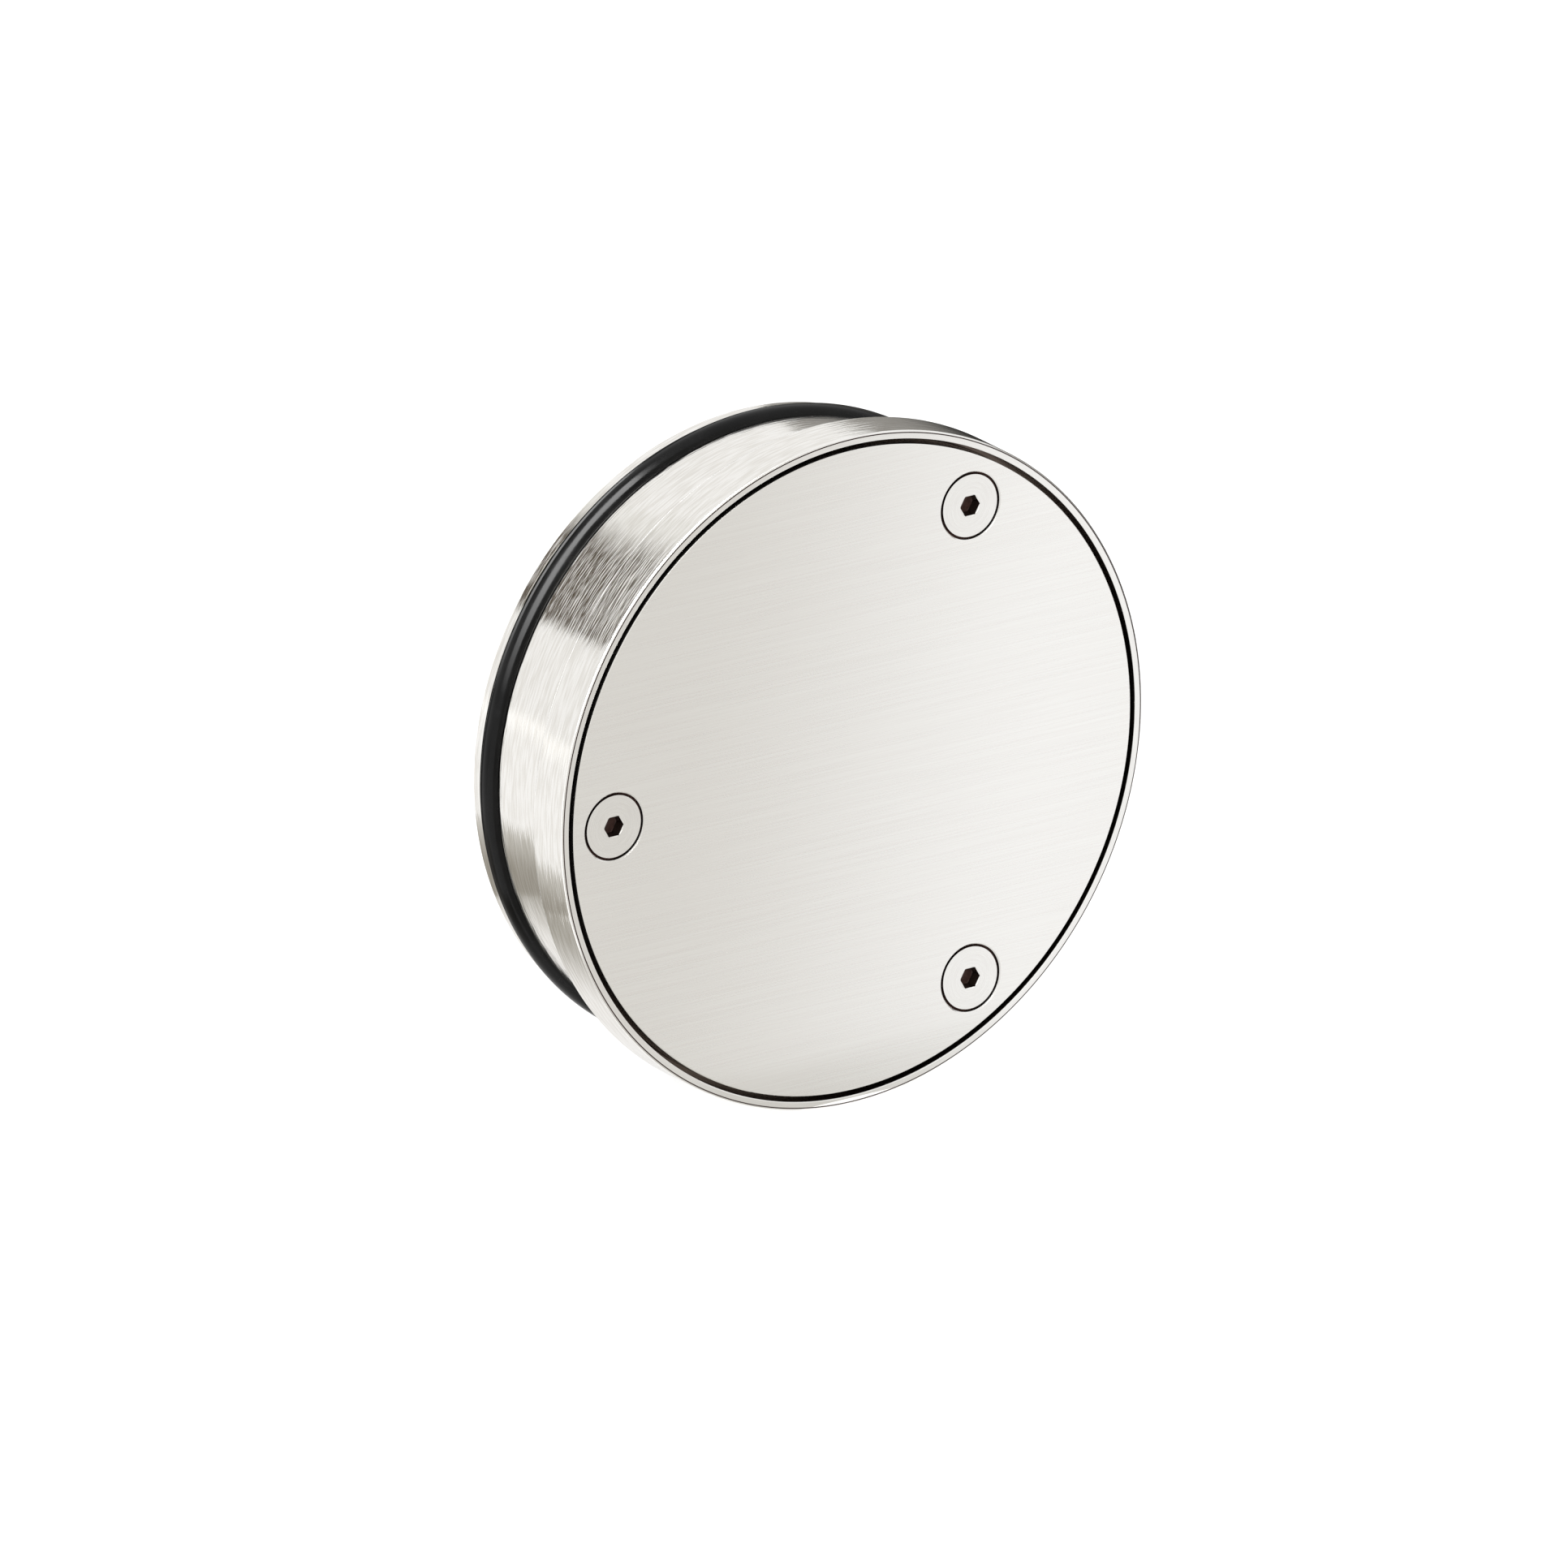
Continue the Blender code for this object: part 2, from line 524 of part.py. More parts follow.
def spindle_nut(bronze, parent):
    """The long bronze nut with its flange on the cover's back."""
    front = COVER_BACK + TOUCH
    bore = SPINDLE_RADIUS + TOUCH
    step = front + NUT_FLANGE_THICKNESS
    outline = [
        (bore, front), (NUT_FLANGE_RADIUS, front), (NUT_FLANGE_RADIUS, step),
        (NUT_RADIUS, step), (NUT_RADIUS, NUT_BACK), (bore, NUT_BACK),
    ]
    nut = piece("spindle_nut", turned(outline, RIM_SIDES), bronze, parent)
    holes = [cylinder(NUT_SHANK_RADIUS + TOUCH, front - PIERCE, step + PIERCE, BORE_SIDES,
                      polar(NUT_SCREW_CIRCLE, angle)) for angle in NUT_SCREW_ANGLES]
    boolean(nut, gather(holes), "DIFFERENCE")


def spindle(steel, parent):
    """The trapezoidal spindle at its thread's outside, with its collar, journal and wheel seat."""
    outline = [
        (0.0, SPINDLE_FRONT), (SPINDLE_RADIUS - EDGE, SPINDLE_FRONT),
        (SPINDLE_RADIUS, SPINDLE_FRONT + EDGE), (SPINDLE_RADIUS, COLLAR_FRONT),
        (COLLAR_RADIUS, COLLAR_FRONT), (COLLAR_RADIUS, COLLAR_BACK),
        (JOURNAL_RADIUS, COLLAR_BACK), (JOURNAL_RADIUS, WHEEL_FRONT - TOUCH),
        (WHEEL_SEAT_RADIUS, WHEEL_FRONT - TOUCH), (WHEEL_SEAT_RADIUS, SPINDLE_BACK),
        (0.0, SPINDLE_BACK),
    ]
    screw = piece("spindle", turned(outline, BOSS_SIDES), steel, parent)
    tapped = cylinder(WHEEL_SHANK_RADIUS + TOUCH, SPINDLE_BACK - WHEEL_SCREW_LENGTH,
                      SPINDLE_BACK + PIERCE, BORE_SIDES)
    boolean(screw, tapped, "DIFFERENCE")


def handwheel(steel, parent):
    """The three-spoked wheel on the spindle's inboard end."""
    wheel = piece("handwheel", cylinder(WHEEL_HUB_RADIUS, WHEEL_FRONT, WHEEL_BACK, BOSS_SIDES), steel,
                  parent)
    rim = []
    for step in range(10):
        turn = 2 * math.pi * step / 10
        rim.append((WHEEL_RIM_RADIUS + WHEEL_RIM_SECTION * math.cos(turn),
                    WHEEL_MIDDLE + WHEEL_RIM_SECTION * math.sin(turn)))
    low = WHEEL_MIDDLE - SPOKE_THICKNESS / 2
    high = WHEEL_MIDDLE + SPOKE_THICKNESS / 2
    for angle in SPOKE_ANGLES:
        spoke = block((0.0, low, -SPOKE_WIDTH / 2), (WHEEL_RIM_RADIUS, high, SPOKE_WIDTH / 2))
        turn = Matrix.Rotation(-math.radians(angle), 3, "Y")
        bmesh.ops.rotate(spoke, verts=spoke.verts, matrix=turn)
        boolean(wheel, spoke, "UNION")
    boolean(wheel, turned(rim, RIM_SIDES), "UNION")
    bore = cylinder(WHEEL_SEAT_RADIUS + TOUCH, WHEEL_FRONT - PIERCE, WHEEL_BACK + PIERCE, BOSS_SIDES)
    boolean(wheel, bore, "DIFFERENCE")


def main():
    """Build every piece in its place."""
    clear_scene()
    steel = finish("brushed_steel", (0.74, 0.72, 0.69), 0.32, 1.0)
    screw_steel = finish("screw_steel", (0.70, 0.68, 0.65), 0.30, 1.0)
    bright_steel = finish("turned_steel", (0.78, 0.78, 0.77), 0.22, 1.0)
    rubber = finish("black_rubber", (0.02, 0.02, 0.02), 0.45, 0.0)
    bronze = finish("bronze", (0.62, 0.42, 0.20), 0.35, 1.0)

    front_ring(steel)
    barrel(steel)
    cover_seal(rubber)
    expansion_seal(rubber)
    rear_ring(steel)
    for number, angle in enumerate(GUIDE_ANGLES, 1):
        guide_bush(number, angle, bronze)
    for number, angle in enumerate(CLAMP_ANGLES, 1):
        cap_screw(f"clamp_screw_{number}", polar(CLAMP_CIRCLE, angle, REAR_BACK + TOUCH),
                  CLAMP_SHANK_RADIUS, CLAMP_SCREW_LENGTH, CLAMP_HEAD_RADIUS, CLAMP_HEAD_HEIGHT,
                  screw_steel)
    bridge(steel)
    for number, angle in enumerate(TIE_ANGLES, 1):
        cap_screw(f"bridge_screw_{number}", polar(TIE_CIRCLE, angle, ARM_BACK + TOUCH),
                  TIE_SHANK_RADIUS, TIE_SCREW_LENGTH, TIE_HEAD_RADIUS, TIE_HEAD_HEIGHT, screw_steel)
    bearing_bush(bronze)

    cover = pivot("cover_slide_axis", (0, COVER_BACK, 0))
    cover_disc(steel, cover)
    for number, angle in enumerate(GUIDE_ANGLES, 1):
        cover_screw(number, angle, screw_steel, cover)
        guide_pillar(number, angle, bright_steel, cover)
        stop_pin(number, angle, bright_steel, cover)
    spindle_nut(bronze, cover)
    nut_screw_seat = COVER_BACK + TOUCH + NUT_FLANGE_THICKNESS + TOUCH
    nut_screw_length = nut_screw_seat - COVER_BACK + NUT_SCREW_DEPTH - TOUCH
    for number, angle in enumerate(NUT_SCREW_ANGLES, 1):
        cap_screw(f"nut_screw_{number}", polar(NUT_SCREW_CIRCLE, angle, nut_screw_seat),
                  NUT_SHANK_RADIUS, nut_screw_length, NUT_HEAD_RADIUS, NUT_HEAD_HEIGHT,
                  screw_steel, cover)

    drive = pivot("handwheel_axis", (0, WHEEL_MIDDLE, 0))
    spindle(bright_steel, drive)
    handwheel(steel, drive)
    washer = ring(WHEEL_SHANK_RADIUS + TOUCH, WASHER_RADIUS, WHEEL_BACK + TOUCH,
                  WHEEL_BACK + TOUCH + WASHER_THICKNESS, BOSS_SIDES)
    piece("wheel_washer", washer, screw_steel, drive, (0, 0, 0))
    wheel_screw_seat = WHEEL_BACK + TOUCH + WASHER_THICKNESS + TOUCH
    cap_screw("wheel_screw", (0, wheel_screw_seat, 0), WHEEL_SHANK_RADIUS, WHEEL_SCREW_LENGTH,
              WHEEL_HEAD_RADIUS, WHEEL_HEAD_HEIGHT, screw_steel, drive)
    smooth_all()


main()
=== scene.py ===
"""Looks of a round opening porthole: brushed stainless rings, a flush cover and black rubber.

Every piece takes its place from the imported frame, which it stands for at a finer scale: turned
edges, countersinks, socket heads, threads and the lay of the brushing. Lengths in the classes
are millimetres, and meshes are metres.
"""

import logging
import math
from dataclasses import dataclass, field
from enum import Enum
from typing import Any, Callable, Iterable, Sequence

import bmesh
import bpy
from mathutils import Matrix, Vector


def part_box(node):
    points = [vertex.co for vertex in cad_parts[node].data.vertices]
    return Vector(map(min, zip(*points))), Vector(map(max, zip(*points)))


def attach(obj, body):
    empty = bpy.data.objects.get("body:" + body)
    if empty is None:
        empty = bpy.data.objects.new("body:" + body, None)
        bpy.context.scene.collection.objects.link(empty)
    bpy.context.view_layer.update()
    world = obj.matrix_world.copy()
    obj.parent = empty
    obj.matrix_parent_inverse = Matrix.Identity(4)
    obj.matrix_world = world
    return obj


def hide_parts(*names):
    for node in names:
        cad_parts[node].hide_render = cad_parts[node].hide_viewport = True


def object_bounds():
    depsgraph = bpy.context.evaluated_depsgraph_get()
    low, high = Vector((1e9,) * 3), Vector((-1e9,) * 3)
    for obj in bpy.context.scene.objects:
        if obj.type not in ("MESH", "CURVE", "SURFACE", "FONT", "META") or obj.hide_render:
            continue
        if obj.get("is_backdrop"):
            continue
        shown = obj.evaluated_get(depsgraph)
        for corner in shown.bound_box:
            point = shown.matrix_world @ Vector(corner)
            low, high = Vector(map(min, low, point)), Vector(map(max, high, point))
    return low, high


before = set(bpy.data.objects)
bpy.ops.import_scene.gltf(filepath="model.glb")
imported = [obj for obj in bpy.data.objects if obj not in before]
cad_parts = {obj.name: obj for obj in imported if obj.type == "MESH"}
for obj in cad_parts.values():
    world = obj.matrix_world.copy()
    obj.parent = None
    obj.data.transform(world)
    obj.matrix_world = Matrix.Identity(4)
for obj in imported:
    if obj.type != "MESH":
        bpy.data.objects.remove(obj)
CAD_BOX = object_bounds()

MM = 0.001
GUIDE_ANGLES = (60.0, 180.0, 300.0)
TIE_ANGLES = (0.0, 120.0, 240.0)
CLAMP_ANGLES = (30.0, 90.0, 150.0, 210.0, 270.0, 330.0)
SHARP = math.radians(30)      # the least angle that shades as an edge
TOUCH = 0.3                   # clearance between nested pieces, mm
DISC_STEPS = 288              # steps round the widest turned pieces
RING_STEPS = 216              # round the rings behind them
HUB_STEPS = 96                # round hubs, nuts and screw heads
FLANK = 5.0                   # how steeply a thread's flanks rise, in depths a pitch
CREST = 0.75                  # how much of that is cut off at the crest, in depths

log = logging.getLogger("porthole")

Point = tuple[float, float]
Corner = tuple[float, float, float]
Body = bmesh.types.BMesh
Material = bpy.types.Material
Piece = bpy.types.Object
Tree = bpy.types.NodeTree


class Lay(Enum):
    """Which way the abrasive ran over a metal face."""

    STRAIGHT = "straight"
    AROUND = "around"


class Stock(Enum):
    """What a small turned piece is cut from: its tone, its scratches' tone and its roughness."""

    STEEL = ("E6E5E2", "D0CEC9", 0.18)
    FASTENER = ("F2F1EE", "EDEBE8", 0.26)
    BRONZE = ("C79A5B", "A87C42", 0.30)


class Operation(Enum):
    """What a tool body does to a piece."""

    CUT = "DIFFERENCE"
    ADD = "UNION"


def span(node: str) -> tuple[float, float, float]:
    """Measure a CAD node.

    Args:
        node: its name.

    Returns:
        The depth of its front, the depth of its back and its reach along +X, all in mm.
    """
    low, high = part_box(node)
    return low.y / MM, high.y / MM, high.x / MM


# ---------------------------------------------------------------- materials


def linear(hex_colour: str) -> tuple[float, float, float, float]:
    """Turn an sRGB hex colour into linear light.

    Args:
        hex_colour: six hexadecimal digits, such as "C8C4BC".

    Returns:
        Red, green, blue and an alpha of 1.
    """
    parts = [int(hex_colour[i:i + 2], 16) / 255 for i in (0, 2, 4)]
    light = [p / 12.92 if p <= 0.04045 else ((p + 0.055) / 1.055) ** 2.4 for p in parts]
    return light[0], light[1], light[2], 1.0


def wire(tree: Tree, node: bpy.types.Node, inputs: dict[Any, Any]) -> None:
    """Link or set a node's inputs.

    Args:
        tree: the node tree that it is in.
        node: the node.
        inputs: a value, or an output socket to link, for each input by name or number.
    """
    for key, value in inputs.items():
        if isinstance(value, bpy.types.NodeSocket):
            tree.links.new(value, node.inputs[key])
        else:
            node.inputs[key].default_value = value


def add_node(tree: Tree, kind: str, settings: dict[str, Any] | None = None,
             inputs: dict[Any, Any] | None = None) -> bpy.types.Node:
    """Add one node, with its settings, values and links.

    Args:
        tree: the node tree that it joins.
        kind: the node's Blender type.
        settings: its properties by name.
        inputs: a value, or an output socket to link, for each input by name or number.

    Returns:
        The new node.
    """
    made = tree.nodes.new(kind)
    for name, value in (settings or {}).items():
        setattr(made, name, value)
    wire(tree, made, inputs or {})
    return made


def blank_material(name: str) -> tuple[Material, Tree, bpy.types.Node]:
    """Start a material.

    Args:
        name: the finish's name.

    Returns:
        The material, its tree and its Principled shader.
    """
    material = bpy.data.materials.new(name)
    material.use_nodes = True
    tree = material.node_tree
    return material, tree, tree.nodes["Principled BSDF"]


@dataclass(frozen=True)
class BrushedSteel:
    """Austenitic stainless steel, brushed with a fine abrasive belt or in the lathe.

    The belt leaves short parallel scratches: reflections smear across them and break into
    streaks along them, and the face looks slightly warm and soft.
    """

    name: str
    tone: str = "E6E4DF"
    scratch: str = "CFCBC4"
    roughness: float = 0.27
    spread: float = 0.10          # how far the scratches vary the roughness
    lay: Lay = Lay.AROUND
    centre: Point = (0.0, 0.0)    # X and Z of the piece's own axis, mm
    line: float = 0.32            # scratch width, mm: coarser than 180 grit, so that it shows
    run: float = 5.0              # scratch length, mm
    depth: float = 0.35           # bump strength
    relief: float = 0.02          # bump height, mm
    detail: float = 3.0           # octaves of finer scratches

    def scratch_coordinates(self, tree: Tree) -> bpy.types.NodeSocket:
        """Stretch object space so that even noise becomes scratches.

        Args:
            tree: the material's node tree.

        Returns:
            The vector socket to feed a noise texture.
        """
        place = add_node(tree, "ShaderNodeTexCoord")
        shift = (-self.centre[0] * MM, 0.0, -self.centre[1] * MM)
        along, across = 1.0 / (self.run * MM), 1.0 / (self.line * MM)
        if self.lay is Lay.STRAIGHT:
            scale = (along, across, across)
            moved = add_node(tree, "ShaderNodeMapping", {}, {
                "Vector": place.outputs["Object"], "Location": shift, "Scale": scale})
            return moved.outputs["Vector"]
        moved = add_node(tree, "ShaderNodeMapping", {}, {
            "Vector": place.outputs["Object"], "Location": shift})
        flat = add_node(tree, "ShaderNodeVectorMath", {"operation": "MULTIPLY"}, {
            0: moved.outputs["Vector"], 1: (1.0, 0.0, 1.0)})
        reach = add_node(tree, "ShaderNodeVectorMath", {"operation": "LENGTH"}, {
            0: flat.outputs["Vector"]})
        depth = add_node(tree, "ShaderNodeSeparateXYZ", {}, {0: moved.outputs["Vector"]})
        wall = add_node(tree, "ShaderNodeMath", {"operation": "ADD"}, {
            0: reach.outputs["Value"], 1: depth.outputs["Y"]})
        rows = add_node(tree, "ShaderNodeMath", {"operation": "MULTIPLY"}, {
            0: wall.outputs["Value"], 1: across})
        turn = add_node(tree, "ShaderNodeVectorMath", {"operation": "NORMALIZE"}, {
            0: flat.outputs["Vector"]})
        stretch = add_node(tree, "ShaderNodeMath", {"operation": "MULTIPLY"}, {
            0: reach.outputs["Value"], 1: along})
        arc = add_node(tree, "ShaderNodeVectorMath", {"operation": "SCALE"}, {
            0: turn.outputs["Vector"], "Scale": stretch.outputs["Value"]})
        lift = add_node(tree, "ShaderNodeCombineXYZ", {}, {"Y": rows.outputs["Value"]})
        whole = add_node(tree, "ShaderNodeVectorMath", {"operation": "ADD"}, {
            0: arc.outputs["Vector"], 1: lift.outputs["Vector"]})
        return whole.outputs["Vector"]

    def make(self) -> Material:
        """Build the material.

        Returns:
            The finished material.
        """
        material, tree, shader = blank_material(self.name)
        vector = self.scratch_coordinates(tree)
        fine = add_node(tree, "ShaderNodeTexNoise", {}, {
            "Vector": vector, "Scale": 1.0, "Detail": self.detail, "Roughness": 0.6})
        place = add_node(tree, "ShaderNodeTexCoord")
        cloudy = add_node(tree, "ShaderNodeTexNoise", {}, {
            "Vector": place.outputs["Object"], "Scale": 45.0, "Detail": 2.0})
        blend = add_node(tree, "ShaderNodeMath", {"operation": "MULTIPLY_ADD"}, {
            0: cloudy.outputs["Fac"], 1: 0.3, 2: fine.outputs["Fac"]})
        rough = add_node(tree, "ShaderNodeMapRange", {}, {
            "Value": blend.outputs["Value"], "From Min": 0.35, "From Max": 0.95,
            "To Min": self.roughness - self.spread, "To Max": self.roughness + self.spread})
        tint = add_node(tree, "ShaderNodeMapRange", {}, {
            "Value": fine.outputs["Fac"], "From Min": 0.38, "From Max": 0.62})
        colour = add_node(tree, "ShaderNodeMix", {"data_type": "RGBA"}, {
            "Factor": tint.outputs["Result"], 6: linear(self.scratch), 7: linear(self.tone)})
        bump = add_node(tree, "ShaderNodeBump", {}, {
            "Strength": self.depth, "Distance": self.relief * MM, "Height": fine.outputs["Fac"]})
        wire(tree, shader, {
            "Base Color": colour.outputs[2], "Roughness": rough.outputs["Result"],
            "Normal": bump.outputs["Normal"], "Metallic": 1.0})
        return material


@dataclass(frozen=True)
class BlastedSteel:
    """Investment-cast stainless steel, bead-blasted: an even satin skin with tiny craters."""

    name: str
    tone: str = "C9C7C2"
    hollow: str = "ABA8A2"
    roughness: float = 0.42
    crater: float = 0.45          # mm across
    depth: float = 0.25

    def make(self) -> Material:
        """Build the material.

        Returns:
            The finished material.
        """
        material, tree, shader = blank_material(self.name)
        place = add_node(tree, "ShaderNodeTexCoord")
        grain = add_node(tree, "ShaderNodeTexNoise", {}, {
            "Vector": place.outputs["Object"], "Scale": 1.0 / (self.crater * MM), "Detail": 3.0})
        cloudy = add_node(tree, "ShaderNodeTexNoise", {}, {
            "Vector": place.outputs["Object"], "Scale": 90.0, "Detail": 3.0})
        tint = add_node(tree, "ShaderNodeMix", {"data_type": "RGBA"}, {
            "Factor": cloudy.outputs["Fac"], 6: linear(self.hollow), 7: linear(self.tone)})
        rough = add_node(tree, "ShaderNodeMapRange", {}, {
            "Value": grain.outputs["Fac"], "From Min": 0.3, "From Max": 0.7,
            "To Min": self.roughness - 0.06, "To Max": self.roughness + 0.08})
        bump = add_node(tree, "ShaderNodeBump", {}, {
            "Strength": self.depth, "Distance": 0.05 * MM, "Height": grain.outputs["Fac"]})
        wire(tree, shader, {
            "Base Color": tint.outputs[2], "Roughness": rough.outputs["Result"],
            "Normal": bump.outputs["Normal"], "Metallic": 1.0})
        return material


@dataclass(frozen=True)
class PaintedShadeBrown:
    """Painted shade: a dull dark brown that stands in for the shade in sockets and narrow gaps."""

    name: str
    tone: str = "261A18"
    shade_mottle: str = "5A413B"
    roughness: float = 0.15

    def make(self) -> Material:
        """Build the material.

        Returns:
            The finished material.
        """
        material, tree, shader = blank_material(self.name)
        place = add_node(tree, "ShaderNodeTexCoord")
        patches = add_node(tree, "ShaderNodeTexNoise", {}, {
            "Vector": place.outputs["Object"], "Scale": 900.0, "Detail": 3.0})
        tint = add_node(tree, "ShaderNodeMix", {"data_type": "RGBA"}, {
            "Factor": patches.outputs["Fac"], 6: linear(self.tone), 7: linear(self.shade_mottle)})
        bump = add_node(tree, "ShaderNodeBump", {}, {
            "Strength": 0.2, "Distance": 0.03 * MM, "Height": patches.outputs["Fac"]})
        wire(tree, shader, {
            "Base Color": tint.outputs[2], "Normal": bump.outputs["Normal"],
            "Roughness": self.roughness})
        return material


@dataclass(frozen=True)
class BlackRubber:
    """Moulded EPDM: nearly black, with a soft sheen, faint bloom and a fine mould grain."""

    name: str
    tone: str = "060606"
    bloom: str = "0E0E0E"
    roughness: float = 0.2
    gloss: float = 0.16           # carbon black and bloom leave little of the shine
    grain: float = 0.5            # mm

    def make(self) -> Material:
        """Build the material.

        Returns:
            The finished material.
        """
        material, tree, shader = blank_material(self.name)
        place = add_node(tree, "ShaderNodeTexCoord")
        patches = add_node(tree, "ShaderNodeTexNoise", {}, {
            "Vector": place.outputs["Object"], "Scale": 70.0, "Detail": 4.0, "Roughness": 0.6})
        skin = add_node(tree, "ShaderNodeTexNoise", {}, {
            "Vector": place.outputs["Object"], "Scale": 1.0 / (self.grain * MM), "Detail": 2.0})
        spread = add_node(tree, "ShaderNodeMapRange", {}, {
            "Value": patches.outputs["Fac"], "From Min": 0.4, "From Max": 0.7})
        tint = add_node(tree, "ShaderNodeMix", {"data_type": "RGBA"}, {
            "Factor": spread.outputs["Result"], 6: linear(self.tone), 7: linear(self.bloom)})
        rough = add_node(tree, "ShaderNodeMapRange", {}, {
            "Value": patches.outputs["Fac"], "From Min": 0.3, "From Max": 0.7,
            "To Min": self.roughness - 0.06, "To Max": self.roughness + 0.10})
        bump = add_node(tree, "ShaderNodeBump", {}, {
            "Strength": 0.18, "Distance": 0.03 * MM, "Height": skin.outputs["Fac"]})
        wire(tree, shader, {
            "Base Color": tint.outputs[2], "Roughness": rough.outputs["Result"],
            "Normal": bump.outputs["Normal"], "Specular IOR Level": self.gloss})
        return material


class Finishes:
    """Every finish on the porthole, made once."""

    def __init__(self) -> None:
        """Make the shared materials."""
        self.cover = BrushedSteel(
            "satin_belt_brushed_stainless", tone="F3F2EF", scratch="EFEDEA", roughness=0.28,
            spread=0.02, lay=Lay.STRAIGHT, line=0.22, run=40.0, depth=0.035, relief=0.004).make()
        self.rim = BrushedSteel(
            "fine_turned_stainless", tone="F3F2EF", scratch="EEECE9", roughness=0.20,
            spread=0.03, line=0.3, run=12.0, depth=0.05, relief=0.005).make()
        self.wall = BrushedSteel(
            "lathe_brushed_stainless", tone="F1EFEB", scratch="E3E0DA", roughness=0.12,
            spread=0.03, line=0.62, run=7.0, depth=1.0, relief=0.058, detail=1.2).make()
        self.cast = BlastedSteel("bead_blasted_cast_stainless").make()
        self.polished = BrushedSteel(
            "polished_stainless", tone="E3E2DF", scratch="D6D4CF", roughness=0.14, spread=0.04,
            line=0.3, run=12.0, depth=0.08).make()
        self.bronze = BrushedSteel(
            "machined_aluminium_bronze", tone="C79A5B", scratch="A87C42", roughness=0.30,
            spread=0.06, line=0.28, run=14.0, depth=0.3).make()
        self.rubber = BlackRubber("moulded_black_epdm").make()
        self.soft_rubber = BlackRubber("soft_black_epdm", roughness=0.5).make()
        # Painted shade: a dark steel for the walls of the narrow gap round the cover and of the
        # screw sockets, where shade falls.
        self.joint = BrushedSteel(
            "painted_shade_dark_steel", tone="6A5F58", scratch="544A44", roughness=0.24,
            spread=0.04, line=0.3, run=12.0, depth=0.1, relief=0.01).make()
        # Painted shade: a dark brown for sockets, countersinks, the score groove and the gaps round
        # screw heads.
        self.recess_shade = PaintedShadeBrown("painted_shade_dark_brown").make()

    @staticmethod
    def turned(name: str, circle: float, angle: float, stock: Stock = Stock.STEEL) -> Material:
        """Make a turned finish centred on an off-axis piece.

        Args:
            name: the piece's name, which ends the material's name.
            circle: the piece's distance from the porthole's axis, mm.
            angle: its angle round that axis, degrees.
            stock: what it is cut from.

        Returns:
            The material.
        """
        turn = math.radians(angle)
        centre = (circle * math.cos(turn), circle * math.sin(turn))
        tone, scratch, roughness = stock.value
        return BrushedSteel(
            f"turned_{stock.name.lower()}_{name}", tone=tone, scratch=scratch, roughness=roughness,
            spread=0.03, centre=centre, line=0.22, run=6.0, depth=0.05, relief=0.01).make()


# ---------------------------------------------------------------- modelling


def lathe(outline: Sequence[Point | Corner], sides: int = 192) -> Body:
    """Turn a closed outline about Y.

    Args:
        outline: (radius, depth) in mm, or (radius, depth, rounding) where a corner is rounded.
        sides: steps round the axis.

    Returns:
        The turned body, in metres.
    """
    body = bmesh.new()
    rounded: dict[float, list[bmesh.types.BMVert]] = {}
    points = []
    for corner in outline:
        points.append(body.verts.new((corner[0] * MM, corner[1] * MM, 0.0)))
        if len(corner) > 2 and corner[2] > 0:
            rounded.setdefault(corner[2], []).append(points[-1])
    body.faces.new(points)
    for size, chosen in rounded.items():
        bmesh.ops.bevel(body, geom=chosen, offset=size * MM, offset_type="OFFSET",
                        affect="VERTICES", segments=3, profile=0.5, material=-1)
    bmesh.ops.delete(body, geom=body.faces[:], context="FACES_ONLY")
    on_axis = [e for e in body.edges if all(v.co.x < 1e-7 for v in e.verts)]
    bmesh.ops.delete(body, geom=on_axis, context="EDGES")
    bmesh.ops.spin(body, geom=body.verts[:] + body.edges[:], cent=(0, 0, 0), axis=(0, 1, 0),
                   angle=2 * math.pi, steps=sides, use_merge=True)
    bmesh.ops.remove_doubles(body, verts=body.verts, dist=1e-7)
    bmesh.ops.recalc_face_normals(body, faces=body.faces)
    return body


def drum(radius: float, front: float, back: float, edge: float = 0.0, sides: int = 48,
         place: Corner = (0.0, 0.0, 0.0)) -> Body:
    """A solid cylinder along Y with rounded ends.

    Args:
        radius: its radius, mm.
        front: the depth of its front, mm.
        back: the depth of its back, mm.
        edge: the rounding of both ends, mm.
        sides: steps round it.
        place: where its axis goes, mm.

    Returns:
        The body, in metres.
    """
    outline: list[Point | Corner] = [(0.0, front), (radius, front, edge), (radius, back, edge),
                                     (0.0, back)]
    if not edge:
        outline = [corner[:2] for corner in outline]
    return shift(lathe(outline, sides), place)



def polar(circle: float, angle: float) -> Corner:
    """Find a place on a circle round the axis.

    Args:
        circle: the circle's radius, mm.
        angle: the angle from +X towards +Z, degrees.

    Returns:
        The place, in mm.
    """
    turn = math.radians(angle)
    return circle * math.cos(turn), 0.0, circle * math.sin(turn)


def ring_of(radius: float, front: float, back: float, circle: float, angles: Sequence[float],
            edge: float = 0.0, sides: int = 32) -> list[Body]:
    """Equal cylinders on a circle.

    Args:
        radius: their radius, mm.
        front: the depth of their fronts, mm.
        back: the depth of their backs, mm.
        circle: the radius of the circle that they stand on, mm.
        angles: their angles round it, degrees.
        edge: the rounding of their ends, mm.
        sides: steps round each.

    Returns:
        The bodies.
    """
    return [drum(radius, front, back, edge, sides, polar(circle, angle)) for angle in angles]


def shift(body: Body, place: Corner) -> Body:
    """Move a body.

    Args:
        body: the body.
        place: how far it moves, mm.

    Returns:
        The same body.
    """
    bmesh.ops.translate(body, verts=body.verts, vec=Vector(place) * MM)
    return body


def gather(bodies: Iterable[Body]) -> Body:
    """Put separate bodies in one mesh.

    Args:
        bodies: the bodies, which are freed.

    Returns:
        One bmesh with all of them.
    """
    whole = bmesh.new()
    for body in bodies:
        part = bpy.data.meshes.new("part")
        body.to_mesh(part)
        body.free()
        whole.from_mesh(part)
        bpy.data.meshes.remove(part)
    return whole


